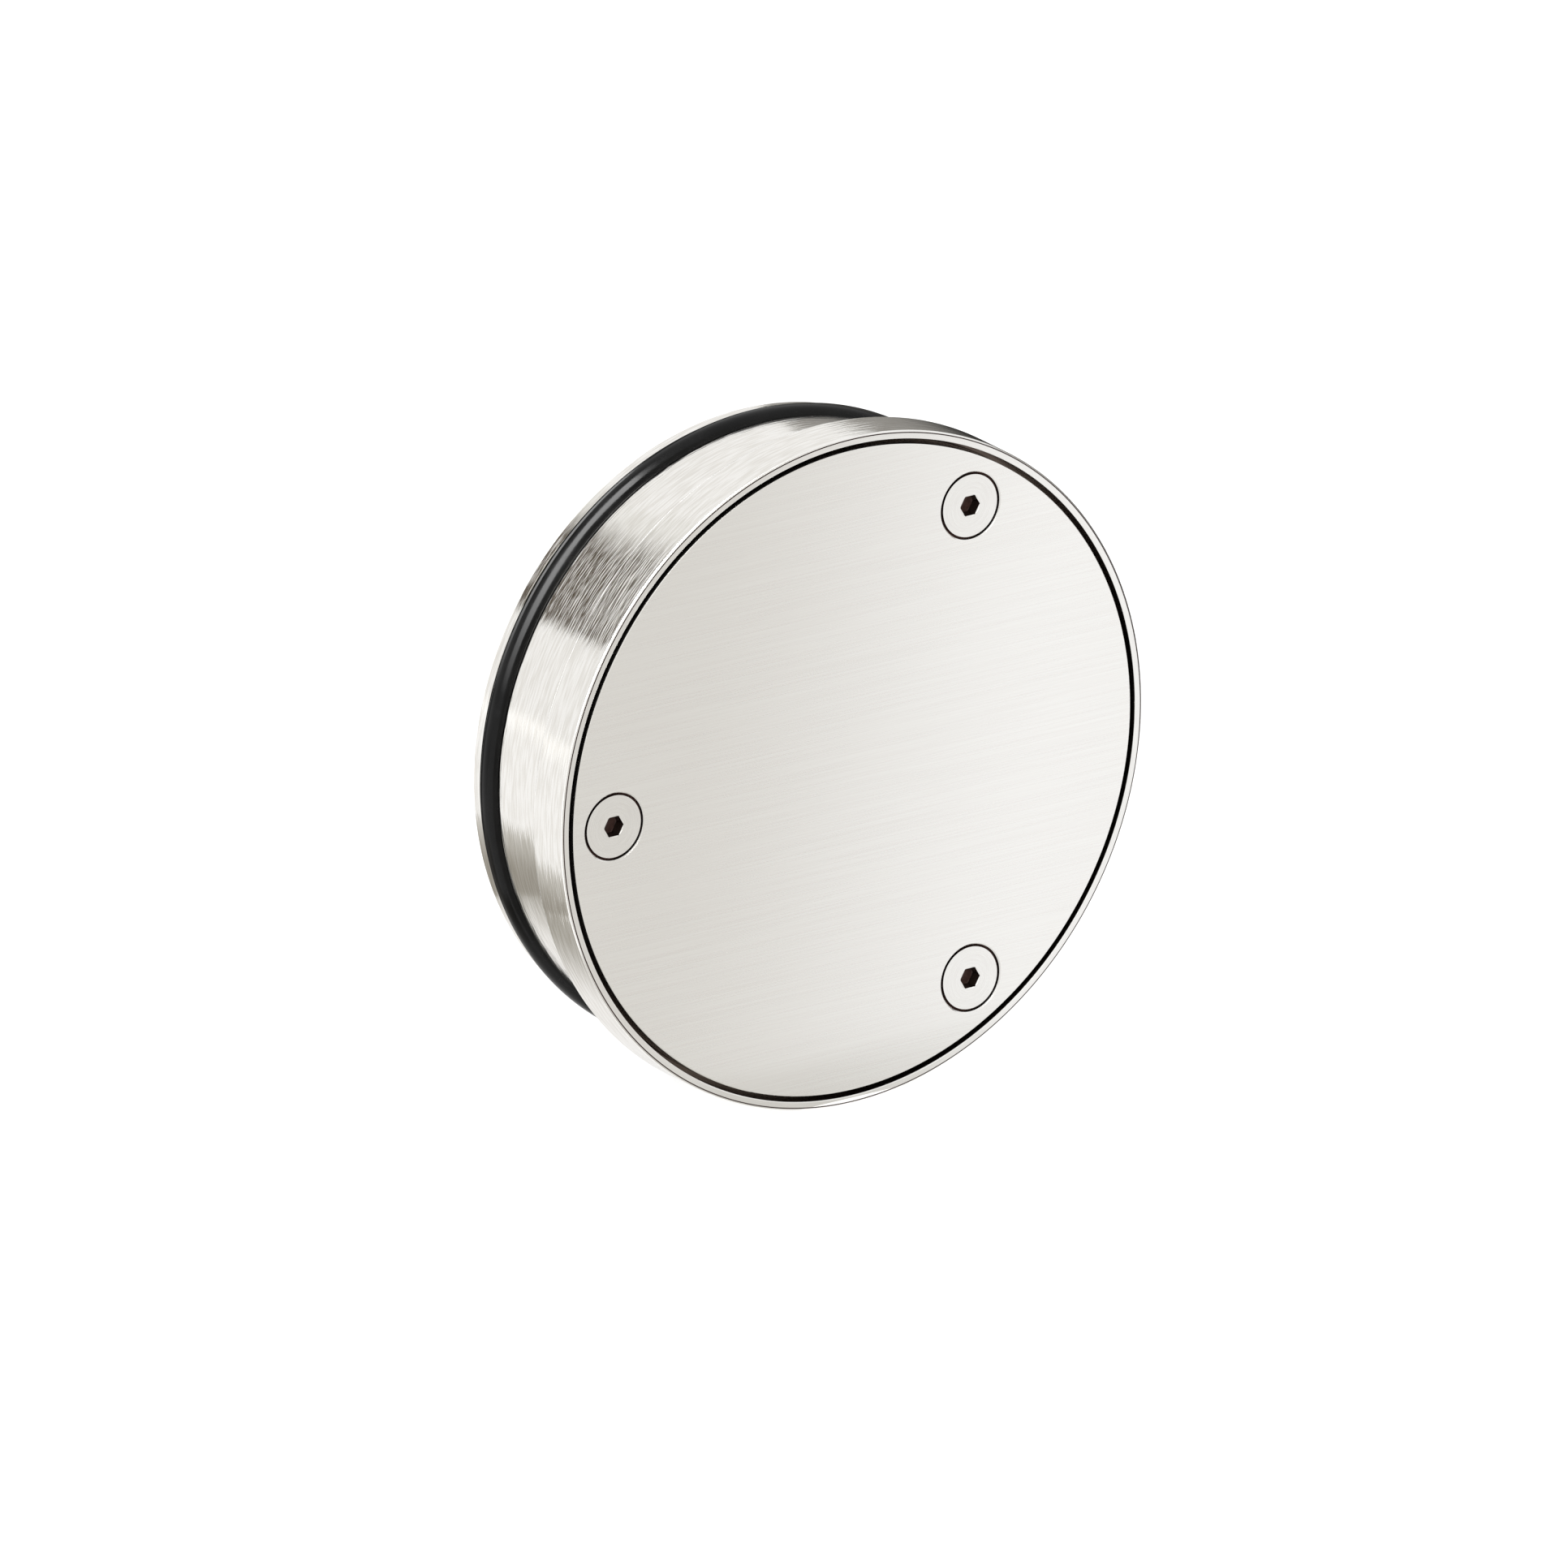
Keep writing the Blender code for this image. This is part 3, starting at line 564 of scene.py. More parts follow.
def turn_about_axis(body: Body, angle: float) -> Body:
    """Turn a body about Y, from +X towards +Z.

    Args:
        body: the body.
        angle: the angle, degrees.

    Returns:
        The same body.
    """
    turn = Matrix.Rotation(-math.radians(angle), 3, "Y")
    bmesh.ops.rotate(body, verts=body.verts, cent=(0, 0, 0), matrix=turn)
    return body


def bar(length: float, thickness: float, width: float, middle: float, rounding: float,
        steps: int) -> Body:
    """A bar out along X with its long edges rounded.

    Args:
        length: its length from the axis, mm.
        thickness: its size along Y, mm.
        width: its size along Z, mm.
        middle: the depth of its middle, mm.
        rounding: the rounding of its long edges, mm.
        steps: the steps of that rounding.

    Returns:
        The body.
    """
    body = bmesh.new()
    bmesh.ops.create_cube(body, size=1.0)
    size = Vector((length, thickness, width)) * MM
    bmesh.ops.scale(body, verts=body.verts, vec=size)
    bmesh.ops.translate(body, verts=body.verts, vec=(size.x / 2, middle * MM, 0))
    edges = [e for e in body.edges if abs(e.verts[0].co.x - e.verts[1].co.x) > size.x / 2]
    bmesh.ops.bevel(body, geom=edges, offset=rounding * MM, offset_type="OFFSET",
                    affect="EDGES", segments=steps, profile=0.5, material=-1)
    return body


def make_object(name: str, body: Body) -> Piece:
    """Link a body to the scene as an object.

    Args:
        name: the object's name.
        body: its shape, which is freed.

    Returns:
        The object, at the origin.
    """
    mesh = bpy.data.meshes.new(name)
    body.to_mesh(mesh)
    body.free()
    made = bpy.data.objects.new(name, mesh)
    bpy.context.scene.collection.objects.link(made)
    return made


def apply_modifiers(thing: Piece) -> None:
    """Keep what a piece's modifiers make as its mesh.

    Args:
        thing: the piece.
    """
    graph = bpy.context.evaluated_depsgraph_get()
    result = bpy.data.meshes.new_from_object(thing.evaluated_get(graph))
    thing.modifiers.clear()
    old = thing.data
    thing.data = result
    bpy.data.meshes.remove(old)
    result.name = thing.name


def work(thing: Piece, tool_body: Body, operation: Operation) -> None:
    """Cut a tool out of a piece, or add it.

    Args:
        thing: the piece.
        tool_body: the tool's shape, which is freed.
        operation: what the tool does.
    """
    tool = make_object("tool", tool_body)
    modifier = thing.modifiers.new("tool", "BOOLEAN")
    modifier.operation = operation.value
    modifier.object = tool
    apply_modifiers(thing)
    bpy.data.objects.remove(tool, do_unlink=True)



def dress(thing: Piece, material: Material, body: str, slot: str,
          *nodes: str) -> Piece:
    """Give a piece its finish, body and CAD nodes.

    Args:
        thing: the piece.
        material: its material.
        body: the CAD body that it rides on.
        slot: the record's material slot; not used.
        nodes: the CAD nodes that it stands for.

    Returns:
        The same piece.
    """
    thing.data.materials.clear()
    thing.data.materials.append(material)
    thing.data.shade_smooth()
    thing.data.set_sharp_from_angle(angle=SHARP)
    weighted = thing.modifiers.new("even_shading", "WEIGHTED_NORMAL")
    weighted.keep_sharp = True
    weighted.weight = 100
    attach(thing, body)
    if nodes:
        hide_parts(*nodes)
    log.info("%s: %d faces, rides on %s", thing.name, len(thing.data.polygons), body)
    return thing


def paint(thing: Piece, material: Material,
          chosen: Callable[[Vector, Vector], bool]) -> None:
    """Give some of a dressed piece's faces a second finish.

    Args:
        thing: the piece.
        material: the second material.
        chosen: told a face's middle, in mm, and its normal, says whether the face takes it.
    """
    thing.data.materials.append(material)
    for face in thing.data.polygons:
        if chosen(face.center / MM, face.normal):
            face.material_index = len(thing.data.materials) - 1


def thread(body: Body, low: float, high: float, radius: float, pitch: float,
           depth: float) -> None:
    """Press a helical thread into a finely divided cylinder about Y.

    Args:
        body: the cylinder, whose wall has rows of points along its length.
        low: where the thread starts, mm.
        high: where it ends, mm.
        radius: the cylinder's radius, mm.
        pitch: the thread's pitch, mm.
        depth: the thread's depth, mm.
    """
    for vert in body.verts:
        reach = math.hypot(vert.co.x, vert.co.z)
        along = vert.co.y / MM
        if reach < (radius - 0.01) * MM or not low < along < high:
            continue
        phase = (along / pitch - math.atan2(vert.co.z, vert.co.x) / (2 * math.pi)) % 1.0
        wave = min(max(abs(phase - 0.5) * FLANK - CREST, 0.0), 1.0)
        fade = min(1.0, (along - low) / pitch, (high - along) / pitch)
        scale = 1.0 - wave * fade * depth / radius
        vert.co.x *= scale
        vert.co.z *= scale


def threaded_rod(radius: float, front: float, back: float, pitch: float, depth: float,
                 sides: int) -> Body:
    """A rod along Y with a helical thread.

    Args:
        radius: outside radius, mm.
        front: depth of one end, mm.
        back: depth of the other end, mm.
        pitch: thread pitch, mm.
        depth: thread depth, mm.
        sides: steps round it.

    Returns:
        The body, in metres.
    """
    rows = int((back - front) / pitch * 8)
    wall = [(radius, front + (back - front) * row / rows) for row in range(rows + 1)]
    body = lathe([(0.0, front)] + wall + [(0.0, back)], sides)
    thread(body, front, back, radius, pitch, depth)
    return body


# ---------------------------------------------------------------- frame pieces


@dataclass
class Assembly:
    """What every sub-assembly is given."""

    finishes: Finishes


@dataclass
class FrontRing(Assembly):
    """The rimmed flange that stands on the hull's outside."""

    rim_wall: float = 2.1
    web: float = 5.2
    spigot: float = 2.0
    seat_width: float = 6.7
    barrel_wall: float = 2.5
    web_step: float = 0.5
    groove_depth: float = 1.8
    groove_width: float = 3.8
    cover_gap: float = 1.25
    edge: float = 0.4
    rear_edge: float = 0.7
    score: float = 0.26           # the fine line turned inside the outer chamfer
    outer: float = field(init=False)
    front: float = field(init=False)

    def __post_init__(self) -> None:
        """Take the ring's place from the frame."""
        self.front, _, self.outer = span("front_ring")

    def build(self) -> None:
        """Turn the ring and dress it."""
        barrel = self.outer - self.seat_width
        bore = barrel - self.barrel_wall + self.web_step
        rim = self.outer - self.rim_wall
        middle = (bore + rim - self.cover_gap) / 2
        inner, outer = middle - self.groove_width / 2, middle + self.groove_width / 2
        lip = self.outer - self.edge
        outline = [
            (self.outer, 0.0, self.rear_edge), (barrel + TOUCH, 0.0),
            (barrel + TOUCH, -self.spigot), (bore, -self.spigot, 0.2), (bore, -self.web, 0.3),
            (inner, -self.web, 0.15),
            (inner, -self.web + self.groove_depth), (outer, -self.web + self.groove_depth),
            (outer, -self.web, 0.15), (rim, -self.web), (rim, self.front, 0.3),
            (lip - self.score, self.front), (lip - self.score, self.front + self.score),
            (lip, self.front + self.score), (lip + 0.03, self.front, 0.08),
            (self.outer, self.front + self.edge, 0.15),
        ]
        ring = make_object("front_ring_turned", lathe(outline, DISC_STEPS))
        dress(ring, self.finishes.wall, "frame", "brushed_steel", "front_ring")
        paint(ring, self.finishes.rim, lambda middle, normal: abs(normal.y) > 0.12)
        # Painted shade: the rim's bore and the web's front face, deep in the gap round the cover,
        # take the dark steel.
        paint(ring, self.finishes.joint, lambda middle, normal:
              self.front + 0.5 < middle.y < 0.1 - self.web and
              outer - 0.1 < math.hypot(middle.x, middle.z) < rim + 0.1)
        # Painted shade: the score groove inside the outer chamfer takes the dark brown, so it reads
        # as a fine dark line.
        paint(ring, self.finishes.recess_shade, lambda middle, normal: middle.y > self.front + 0.05 and
              lip - self.score - 0.05 < math.hypot(middle.x, middle.z) < lip + 0.03 and
              middle.y < self.front + self.score + 0.1)


@dataclass
class Barrel(Assembly):
    """The tube through the hull, with guide, tie and clamp bosses cast inside."""

    wall: float = 2.5
    guide_radius: float = 8.5
    guide_circle: float = 70.0
    guide_length: float = 13.7
    guide_bore: float = 7.3
    tie_radius: float = 7.0
    tie_seat_step: float = 3.9
    clamp_radius: float = 5.5
    clamp_seat_step: float = 1.9
    boss_length: float = 14.0
    bite: float = 0.7
    tapped: float = 12.0
    tie_drill: float = 3.3
    clamp_drill: float = 2.3
    cone: float = 3.0

    def boss(self, radius: float, circle: float, angle: float, front: float,
             back: float) -> Body:
        """A boss whose front end tapers as a casting does.

        Args:
            radius: its radius, mm.
            circle: its distance from the porthole's axis, mm.
            angle: its angle, degrees.
            front: the depth of its front, mm.
            back: the depth of its seat, mm.

        Returns:
            The body.
        """
        outline = [(0.0, front), (radius * 0.62, front, 0.6), (radius, front + self.cone, 0.6),
                   (radius, back, 0.4), (0.0, back)]
        return shift(lathe(outline, 48), polar(circle, angle))

    def build(self) -> None:
        """Turn the tube, add its bosses and drill them."""
        front, back, outer = span("barrel")
        bore = outer - self.wall
        outline = [(bore, front, 0.3), (outer, front, 0.3), (outer, back, 0.35), (bore, back, 0.35)]
        tube = make_object("barrel_cast", lathe(outline, RING_STEPS))
        tie_circle = bore + self.bite - self.tie_radius
        clamp_circle = bore + self.bite - self.clamp_radius
        tie_seat, clamp_seat = back - self.tie_seat_step, back - self.clamp_seat_step
        bosses = ring_of(self.guide_radius, front + TOUCH, self.guide_length,
                         self.guide_circle, GUIDE_ANGLES, 0.4, 64)
        bosses += [self.boss(self.tie_radius, tie_circle, angle, tie_seat - self.boss_length,
                             tie_seat) for angle in TIE_ANGLES]
        bosses += [self.boss(self.clamp_radius, clamp_circle, angle,
                             clamp_seat - self.boss_length, clamp_seat) for angle in CLAMP_ANGLES]
        work(tube, gather(bosses), Operation.ADD)
        holes = ring_of(self.guide_bore, front - 2, self.guide_length + 2, self.guide_circle,
                        GUIDE_ANGLES, 0.0, 48)
        holes += ring_of(self.tie_drill, tie_seat - self.tapped, tie_seat + 2, tie_circle,
                         TIE_ANGLES)
        holes += ring_of(self.clamp_drill, clamp_seat - self.tapped, clamp_seat + 2,
                         clamp_circle, CLAMP_ANGLES)
        work(tube, gather(holes), Operation.CUT)
        dress(tube, self.finishes.wall, "frame", "brushed_steel", "barrel")


@dataclass
class Rubbers(Assembly):
    """The lip seal under the cover and the fat ring that grips the hull."""

    lip_width: float = 3.2
    crown: float = 3.1
    root: float = 1.1
    groove: float = 0.5
    groove_step: int = 10
    crown_steps: int = 16

    def cover_seal(self) -> None:
        """Mould the lip seal."""
        front, back, outer = span("cover_seal")
        inner = outer - self.lip_width
        middle = (inner + outer) / 2
        outline = [(inner, back), (inner, front + 1.0, 0.2), (middle - 0.7, front, 0.3),
                   (middle + 0.7, front, 0.3), (outer, front + 1.0, 0.2), (outer, back)]
        seal = make_object("cover_lip_seal", lathe(outline, RING_STEPS))
        dress(seal, self.finishes.soft_rubber, "frame", "black_rubber", "cover_seal")

    def expansion_seal(self) -> None:
        """Mould the ring, with a crowned outside and a shallow parting groove."""
        front, back, outer = span("expansion_seal")
        half = (back - front) / 2
        base = outer - self.crown
        inner = base - self.root
        outline: list[Point] = [(inner, back), (inner, front)]
        for step in range(self.crown_steps + 1):
            turn = math.pi * step / self.crown_steps
            swell = abs(math.sin(turn)) ** 0.8
            notch = self.groove if step == self.groove_step else 0.0
            outline.append((base + (outer - base) * swell - notch,
                            front + half - half * math.cos(turn)))
        ring = make_object("hull_expansion_ring", lathe(outline, DISC_STEPS))
        dress(ring, self.finishes.rubber, "frame", "black_rubber", "expansion_seal")

    def build(self) -> None:
        """Make both rubbers."""
        self.cover_seal()
        self.expansion_seal()


@dataclass
class RearRing(Assembly):
    """The clamp ring, with a lug for each clamp screw."""

    bore: float = 76.6
    lug_radius: float = 6.5
    lug_circle: float = 71.5
    hole: float = 2.3
    edge: float = 0.4

    def build(self) -> None:
        """Turn the ring and add its lugs."""
        front, back, outer = span("rear_ring")
        outline = [(self.bore, front, 0.2), (outer, front), (outer, back, self.edge),
                   (self.bore, back, 0.3)]
        ring = make_object("rear_clamp_ring", lathe(outline, RING_STEPS))
        lugs = ring_of(self.lug_radius, front + 0.02, back - 0.02, self.lug_circle,
                       CLAMP_ANGLES, 0.3, 48)
        work(ring, gather(lugs), Operation.ADD)
        holes = ring_of(self.hole, front - 2, back + 2, self.lug_circle, CLAMP_ANGLES)
        work(ring, gather(holes), Operation.CUT)
        dress(ring, self.finishes.wall, "frame", "brushed_steel", "rear_ring")


@dataclass
class CapScrew(Assembly):
    """A socket-head cap screw with its head inboard."""

    node: str
    circle: float
    angle: float
    head: float
    height: float
    shank: float
    pitch: float
    socket: float
    body: str

    def build(self) -> None:
        """Turn the screw, cut its socket and press its thread."""
        front, back, _ = span(self.node)
        seat = back - self.height
        outline = [(0.0, seat), (self.head, seat, 0.1), (self.head, back, self.height * 0.14),
                   (0.0, back)]
        place = polar(self.circle, self.angle)
        screw = make_object(self.node + "_machined", lathe(outline, 48))
        mouth = self.socket / math.sqrt(3)
        tip = back - self.height * 0.6
        work(screw, drum(mouth, tip, back + 1, 0.0, 6), Operation.CUT)
        cone = lathe([(0.0, back + 0.5), (mouth + 0.6, back + 0.5), (mouth - 0.35, back - 0.45),
                      (0.0, back - 0.45)], 48)
        work(screw, cone, Operation.CUT)
        shank = threaded_rod(self.shank, front, seat + 0.2, self.pitch, self.pitch * 0.55, 32)
        work(screw, shank, Operation.ADD)
        screw.data.transform(Matrix.Translation(Vector(place) * MM))
        finish = Finishes.turned(self.node, self.circle, self.angle, Stock.FASTENER)
        dress(screw, finish, self.body, "screw_steel", self.node)
        # Painted shade: the socket takes the dark brown.
        paint(screw, self.finishes.recess_shade, lambda middle, normal: seat < middle.y < back - 0.5 and
              math.hypot(middle.x - place[0], middle.z - place[2]) < mouth)


@dataclass
class Bridge(Assembly):
    """The three-armed spider with the spindle's bearing in its hub."""

    hub: float = 18.0
    cavity: float = 13.0
    arm_width: float = 11.0
    arm_thickness: float = 5.0
    foot_circle: float = 70.0
    foot: float = 6.0
    bearing_bore: float = 9.3
    bearing_length: float = 11.0
    hole: float = 3.3

    def build(self) -> None:
        """Cast the spider and bore it."""
        front, back, _ = span("bridge")
        outline = [(0.0, front), (self.hub, front, 0.5), (self.hub, front + self.arm_thickness),
                   (self.hub - 2.5, back, 1.4), (0.0, back)]
        hub = make_object("bridge_cast", lathe(outline, HUB_STEPS))
        for angle in TIE_ANGLES:
            arm = bar(self.foot_circle, self.arm_thickness, self.arm_width,
                      front + self.arm_thickness / 2, 0.9, 3)
            work(hub, turn_about_axis(arm, angle), Operation.ADD)
        feet = ring_of(self.foot, front, front + self.arm_thickness, self.foot_circle,
                       TIE_ANGLES, 0.5, 48)
        work(hub, gather(feet), Operation.ADD)
        floor = back - self.bearing_length
        bore = lathe([(0.0, front - 2), (self.cavity, front - 2), (self.cavity, floor),
                      (self.bearing_bore, floor), (self.bearing_bore, back + 2),
                      (0.0, back + 2)], HUB_STEPS)
        work(hub, bore, Operation.CUT)
        holes = ring_of(self.hole, front - 2, front + self.arm_thickness + 2,
                        self.foot_circle, TIE_ANGLES)
        work(hub, gather(holes), Operation.CUT)
        dress(hub, self.finishes.cast, "frame", "brushed_steel", "bridge")


@dataclass
class Bushes(Assembly):
    """The bronze liners of the guide bosses and of the bridge's hub."""

    guide_bore: float = 6.15
    guide_circle: float = 70.0
    bearing_bore: float = 6.3
    bearing_wall: float = 2.7
    flange: float = 1.5

    def build(self) -> None:
        """Turn the liners."""
        for number, angle in enumerate(GUIDE_ANGLES, 1):
            node = f"guide_bush_{number}"
            low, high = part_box(node)
            outer = (high.z - low.z) / 2 / MM
            front, back = low.y / MM, high.y / MM
            outline = [(self.guide_bore, front, 0.2), (outer, front, 0.1), (outer, back, 0.1),
                       (self.guide_bore, back, 0.25)]
            body = shift(lathe(outline, 72), polar(self.guide_circle, angle))
            bush = make_object(node + "_bored", body)
            finish = Finishes.turned(node, self.guide_circle, angle, Stock.BRONZE)
            dress(bush, finish, "frame", "bronze", node)
        front, back, rim = span("bearing_bush")
        outer = self.bearing_bore + self.bearing_wall
        outline = [(self.bearing_bore, front, 0.2), (outer, front, 0.2),
                   (outer, back - self.flange), (rim, back - self.flange, 0.15),
                   (rim, back, 0.3), (self.bearing_bore, back, 0.3)]
        bearing = make_object("bearing_bush_turned", lathe(outline, HUB_STEPS))
        dress(bearing, self.finishes.bronze, "frame", "bronze", "bearing_bush")


# ---------------------------------------------------------------- cover pieces


@dataclass
class Cover(Assembly):
    """The flush disc and the three screws in its face."""

    head: float = 8.0
    side_gap: float = 0.25
    recess: float = 0.3
    shank: float = 4.0
    socket: float = 5.0
    socket_depth: float = 3.0
    circle: float = 70.0
    edge: float = 0.4
    nut_circle: float = 17.5
    nut_hole: float = 2.3
    nut_hole_depth: float = 4.0

    def disc(self) -> None:
        """Turn the disc and countersink it."""
        front, back, outer = span("cover_disc")
        outline = [(0.0, back), (outer, back, 0.25), (outer, front, self.edge), (0.0, front)]
        disc = make_object("cover_disc_brushed", lathe(outline, DISC_STEPS))
        mouth = self.head + self.side_gap + self.recess
        hole = self.shank + TOUCH
        sink = [(0.0, front - 1.0), (mouth + 0.34, front - 1.0), (mouth + 0.34, front),
                (mouth + 0.04, front + 0.26), (mouth - 0.02, front + 0.5),
                (mouth - 0.1, front + 0.9), (hole, front + mouth - hole), (hole, back + 2),
                (0.0, back + 2)]
        tools = [shift(lathe(sink, HUB_STEPS), polar(self.circle, angle)) for angle in GUIDE_ANGLES]
        tools += ring_of(self.nut_hole, back - self.nut_hole_depth, back + 2, self.nut_circle,
                         TIE_ANGLES)
        work(disc, gather(tools), Operation.CUT)
        dress(disc, self.finishes.cover, "cover", "brushed_steel", "cover_disc")
        paint(disc, self.finishes.rim, lambda middle, normal: abs(normal.y) < 0.9)
        # Painted shade: the countersinks' walls below the mouth chamfer take the dark brown, for
        # the shade in the gap round each head.
        sunk = [Vector(polar(self.circle, angle)) for angle in GUIDE_ANGLES]
        paint(disc, self.finishes.recess_shade, lambda middle, normal: front + 0.95 < middle.y < back - 0.3
              and min(math.hypot(middle.x - at.x, middle.z - at.z) for at in sunk) < mouth + 0.1)

    def screw(self, number: int, angle: float) -> None:
        """Turn one countersunk screw and cut its socket.

        Args:
            number: the screw's number in its node's name.
            angle: its angle round the axis, degrees.
        """
        node = f"cover_screw_{number}"
        front, back, _ = span(node)
        cone = self.head - self.shank
        outline = [(0.0, front), (self.head, front, 0.12), (self.shank, front + cone),
                   (self.shank, back - 0.5), (self.shank - 0.5, back), (0.0, back)]
        screw = make_object(node + "_machined", lathe(outline, HUB_STEPS))
        mouth = self.socket / math.sqrt(3)
        bit = drum(mouth, front - 1, front + self.socket_depth, 0.0, 6)
        work(screw, bit, Operation.CUT)
        lead = lathe([(0.0, front - 0.5), (mouth + 0.42, front - 0.5), (mouth - 0.16, front + 0.08),
                      (0.0, front + 0.08)], 64)
        work(screw, lead, Operation.CUT)
        point = lathe([(0.0, front + self.socket_depth - 0.01),
                       (mouth * 0.86, front + self.socket_depth - 0.01),
                       (0.0, front + self.socket_depth + 1.2)], 48)
        work(screw, point, Operation.CUT)
        screw.data.transform(Matrix.Translation(Vector(polar(self.circle, angle)) * MM))
        finish = Finishes.turned(node, self.circle, angle, Stock.FASTENER)
        dress(screw, finish, "cover", "screw_steel", node)
        axis = Vector(polar(self.circle, angle))
        # Painted shade: the socket and the head's cone below its face take the dark brown.
        paint(screw, self.finishes.recess_shade, lambda middle, normal: front + 0.12 < middle.y < back and
              (math.hypot(middle.x - axis.x, middle.z - axis.z) < mouth or
               middle.y < front + cone))
        # Painted shade: the socket's walls take the dark steel.
        paint(screw, self.finishes.joint, lambda middle, normal: abs(normal.y) < 0.3 and
              front + 0.12 < middle.y < front + self.socket_depth and
              math.hypot(middle.x - axis.x, middle.z - axis.z) < mouth)

    def build(self) -> None:
        """Make the disc and its screws."""
        self.disc()
        for number, angle in enumerate(GUIDE_ANGLES, 1):
            self.screw(number, angle)


@dataclass
class Pillars(Assembly):
    """The guide pillars behind the cover screws, and their stop pins."""

    circle: float = 70.0
    radius: float = 6.0
    pin_radius: float = 1.5
    pin_half: float = 9.0
    tapped: float = 4.3
    tapped_depth: float = 11.0
    pin_hole: float = 1.8
    edge: float = 0.6

    def pillar(self, number: int, angle: float) -> None:
        """Turn, tap and cross-drill one pillar.

        Args:
            number: the pillar's number.
            angle: its angle round the axis, degrees.
        """
        node = f"guide_pillar_{number}"
        front, back, _ = span(node)
        pin_front, pin_back, _ = span(f"stop_pin_{number}")
        outline = [(0.0, front), (self.radius, front, 0.3), (self.radius, back, self.edge),
                   (0.0, back)]
        rod = make_object(node + "_ground", lathe(outline, 72))
        bore = drum(self.tapped, front - 1, front + self.tapped_depth, 0.0, 32)
        across = drum(self.pin_hole, -8.0, 8.0, 0.0, 32)
        bmesh.ops.rotate(across, verts=across.verts, cent=(0, 0, 0),
                         matrix=Matrix.Rotation(math.pi / 2, 3, "X"))
        shift(across, (0.0, (pin_front + pin_back) / 2, 0.0))
        work(rod, gather([bore, across]), Operation.CUT)
        turn = Matrix.Rotation(-math.radians(angle), 4, "Y")
        rod.data.transform(Matrix.Translation(Vector(polar(self.circle, angle)) * MM) @ turn)
        dress(rod, Finishes.turned(node, self.circle, angle), "cover", "turned_steel", node)

    def pin(self, number: int, angle: float) -> None:
        """Turn one stop pin, which lies across its pillar.

        Args:
            number: the pin's number.
            angle: its pillar's angle round the axis, degrees.
        """
        node = f"stop_pin_{number}"
        low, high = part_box(node)
        middle = (low.y + high.y) / 2
        body = drum(self.pin_radius, -self.pin_half, self.pin_half, 0.5, 32)
        bmesh.ops.rotate(body, verts=body.verts, cent=(0, 0, 0),
                         matrix=Matrix.Rotation(math.pi / 2, 3, "X"))
        pin = make_object(node + "_ground", body)
        turn = Matrix.Rotation(-math.radians(angle), 4, "Y")
        place = Vector(polar(self.circle, angle)) * MM + Vector((0, middle, 0))
        pin.data.transform(Matrix.Translation(place) @ turn)
        dress(pin, Finishes.turned(node, self.circle, angle), "cover", "turned_steel", node)

    def build(self) -> None:
        """Make every pillar and pin."""
        for number, angle in enumerate(GUIDE_ANGLES, 1):
            self.pillar(number, angle)
            self.pin(number, angle)


@dataclass
class SpindleNut(Assembly):
    """The long bronze nut on the cover's back."""

    bore: float = 8.3
    tube: float = 12.0
    flange: float = 4.0
    hole: float = 2.3
    hole_circle: float = 17.5

    def build(self) -> None:
        """Turn the nut and drill its flange."""
        front, back, rim = span("spindle_nut")
        step = front + self.flange
        outline = [(self.bore, front, 0.2), (rim, front, 0.2), (rim, step, 0.5),
                   (self.tube, step), (self.tube, back, 0.5), (self.bore, back, 0.4)]
        nut = make_object("spindle_nut_turned", lathe(outline, HUB_STEPS))
        holes = ring_of(self.hole, front - 1, step + 1, self.hole_circle, TIE_ANGLES)
        work(nut, gather(holes), Operation.CUT)
        dress(nut, self.finishes.bronze, "cover", "bronze", "spindle_nut")


# ---------------------------------------------------------------- drive pieces


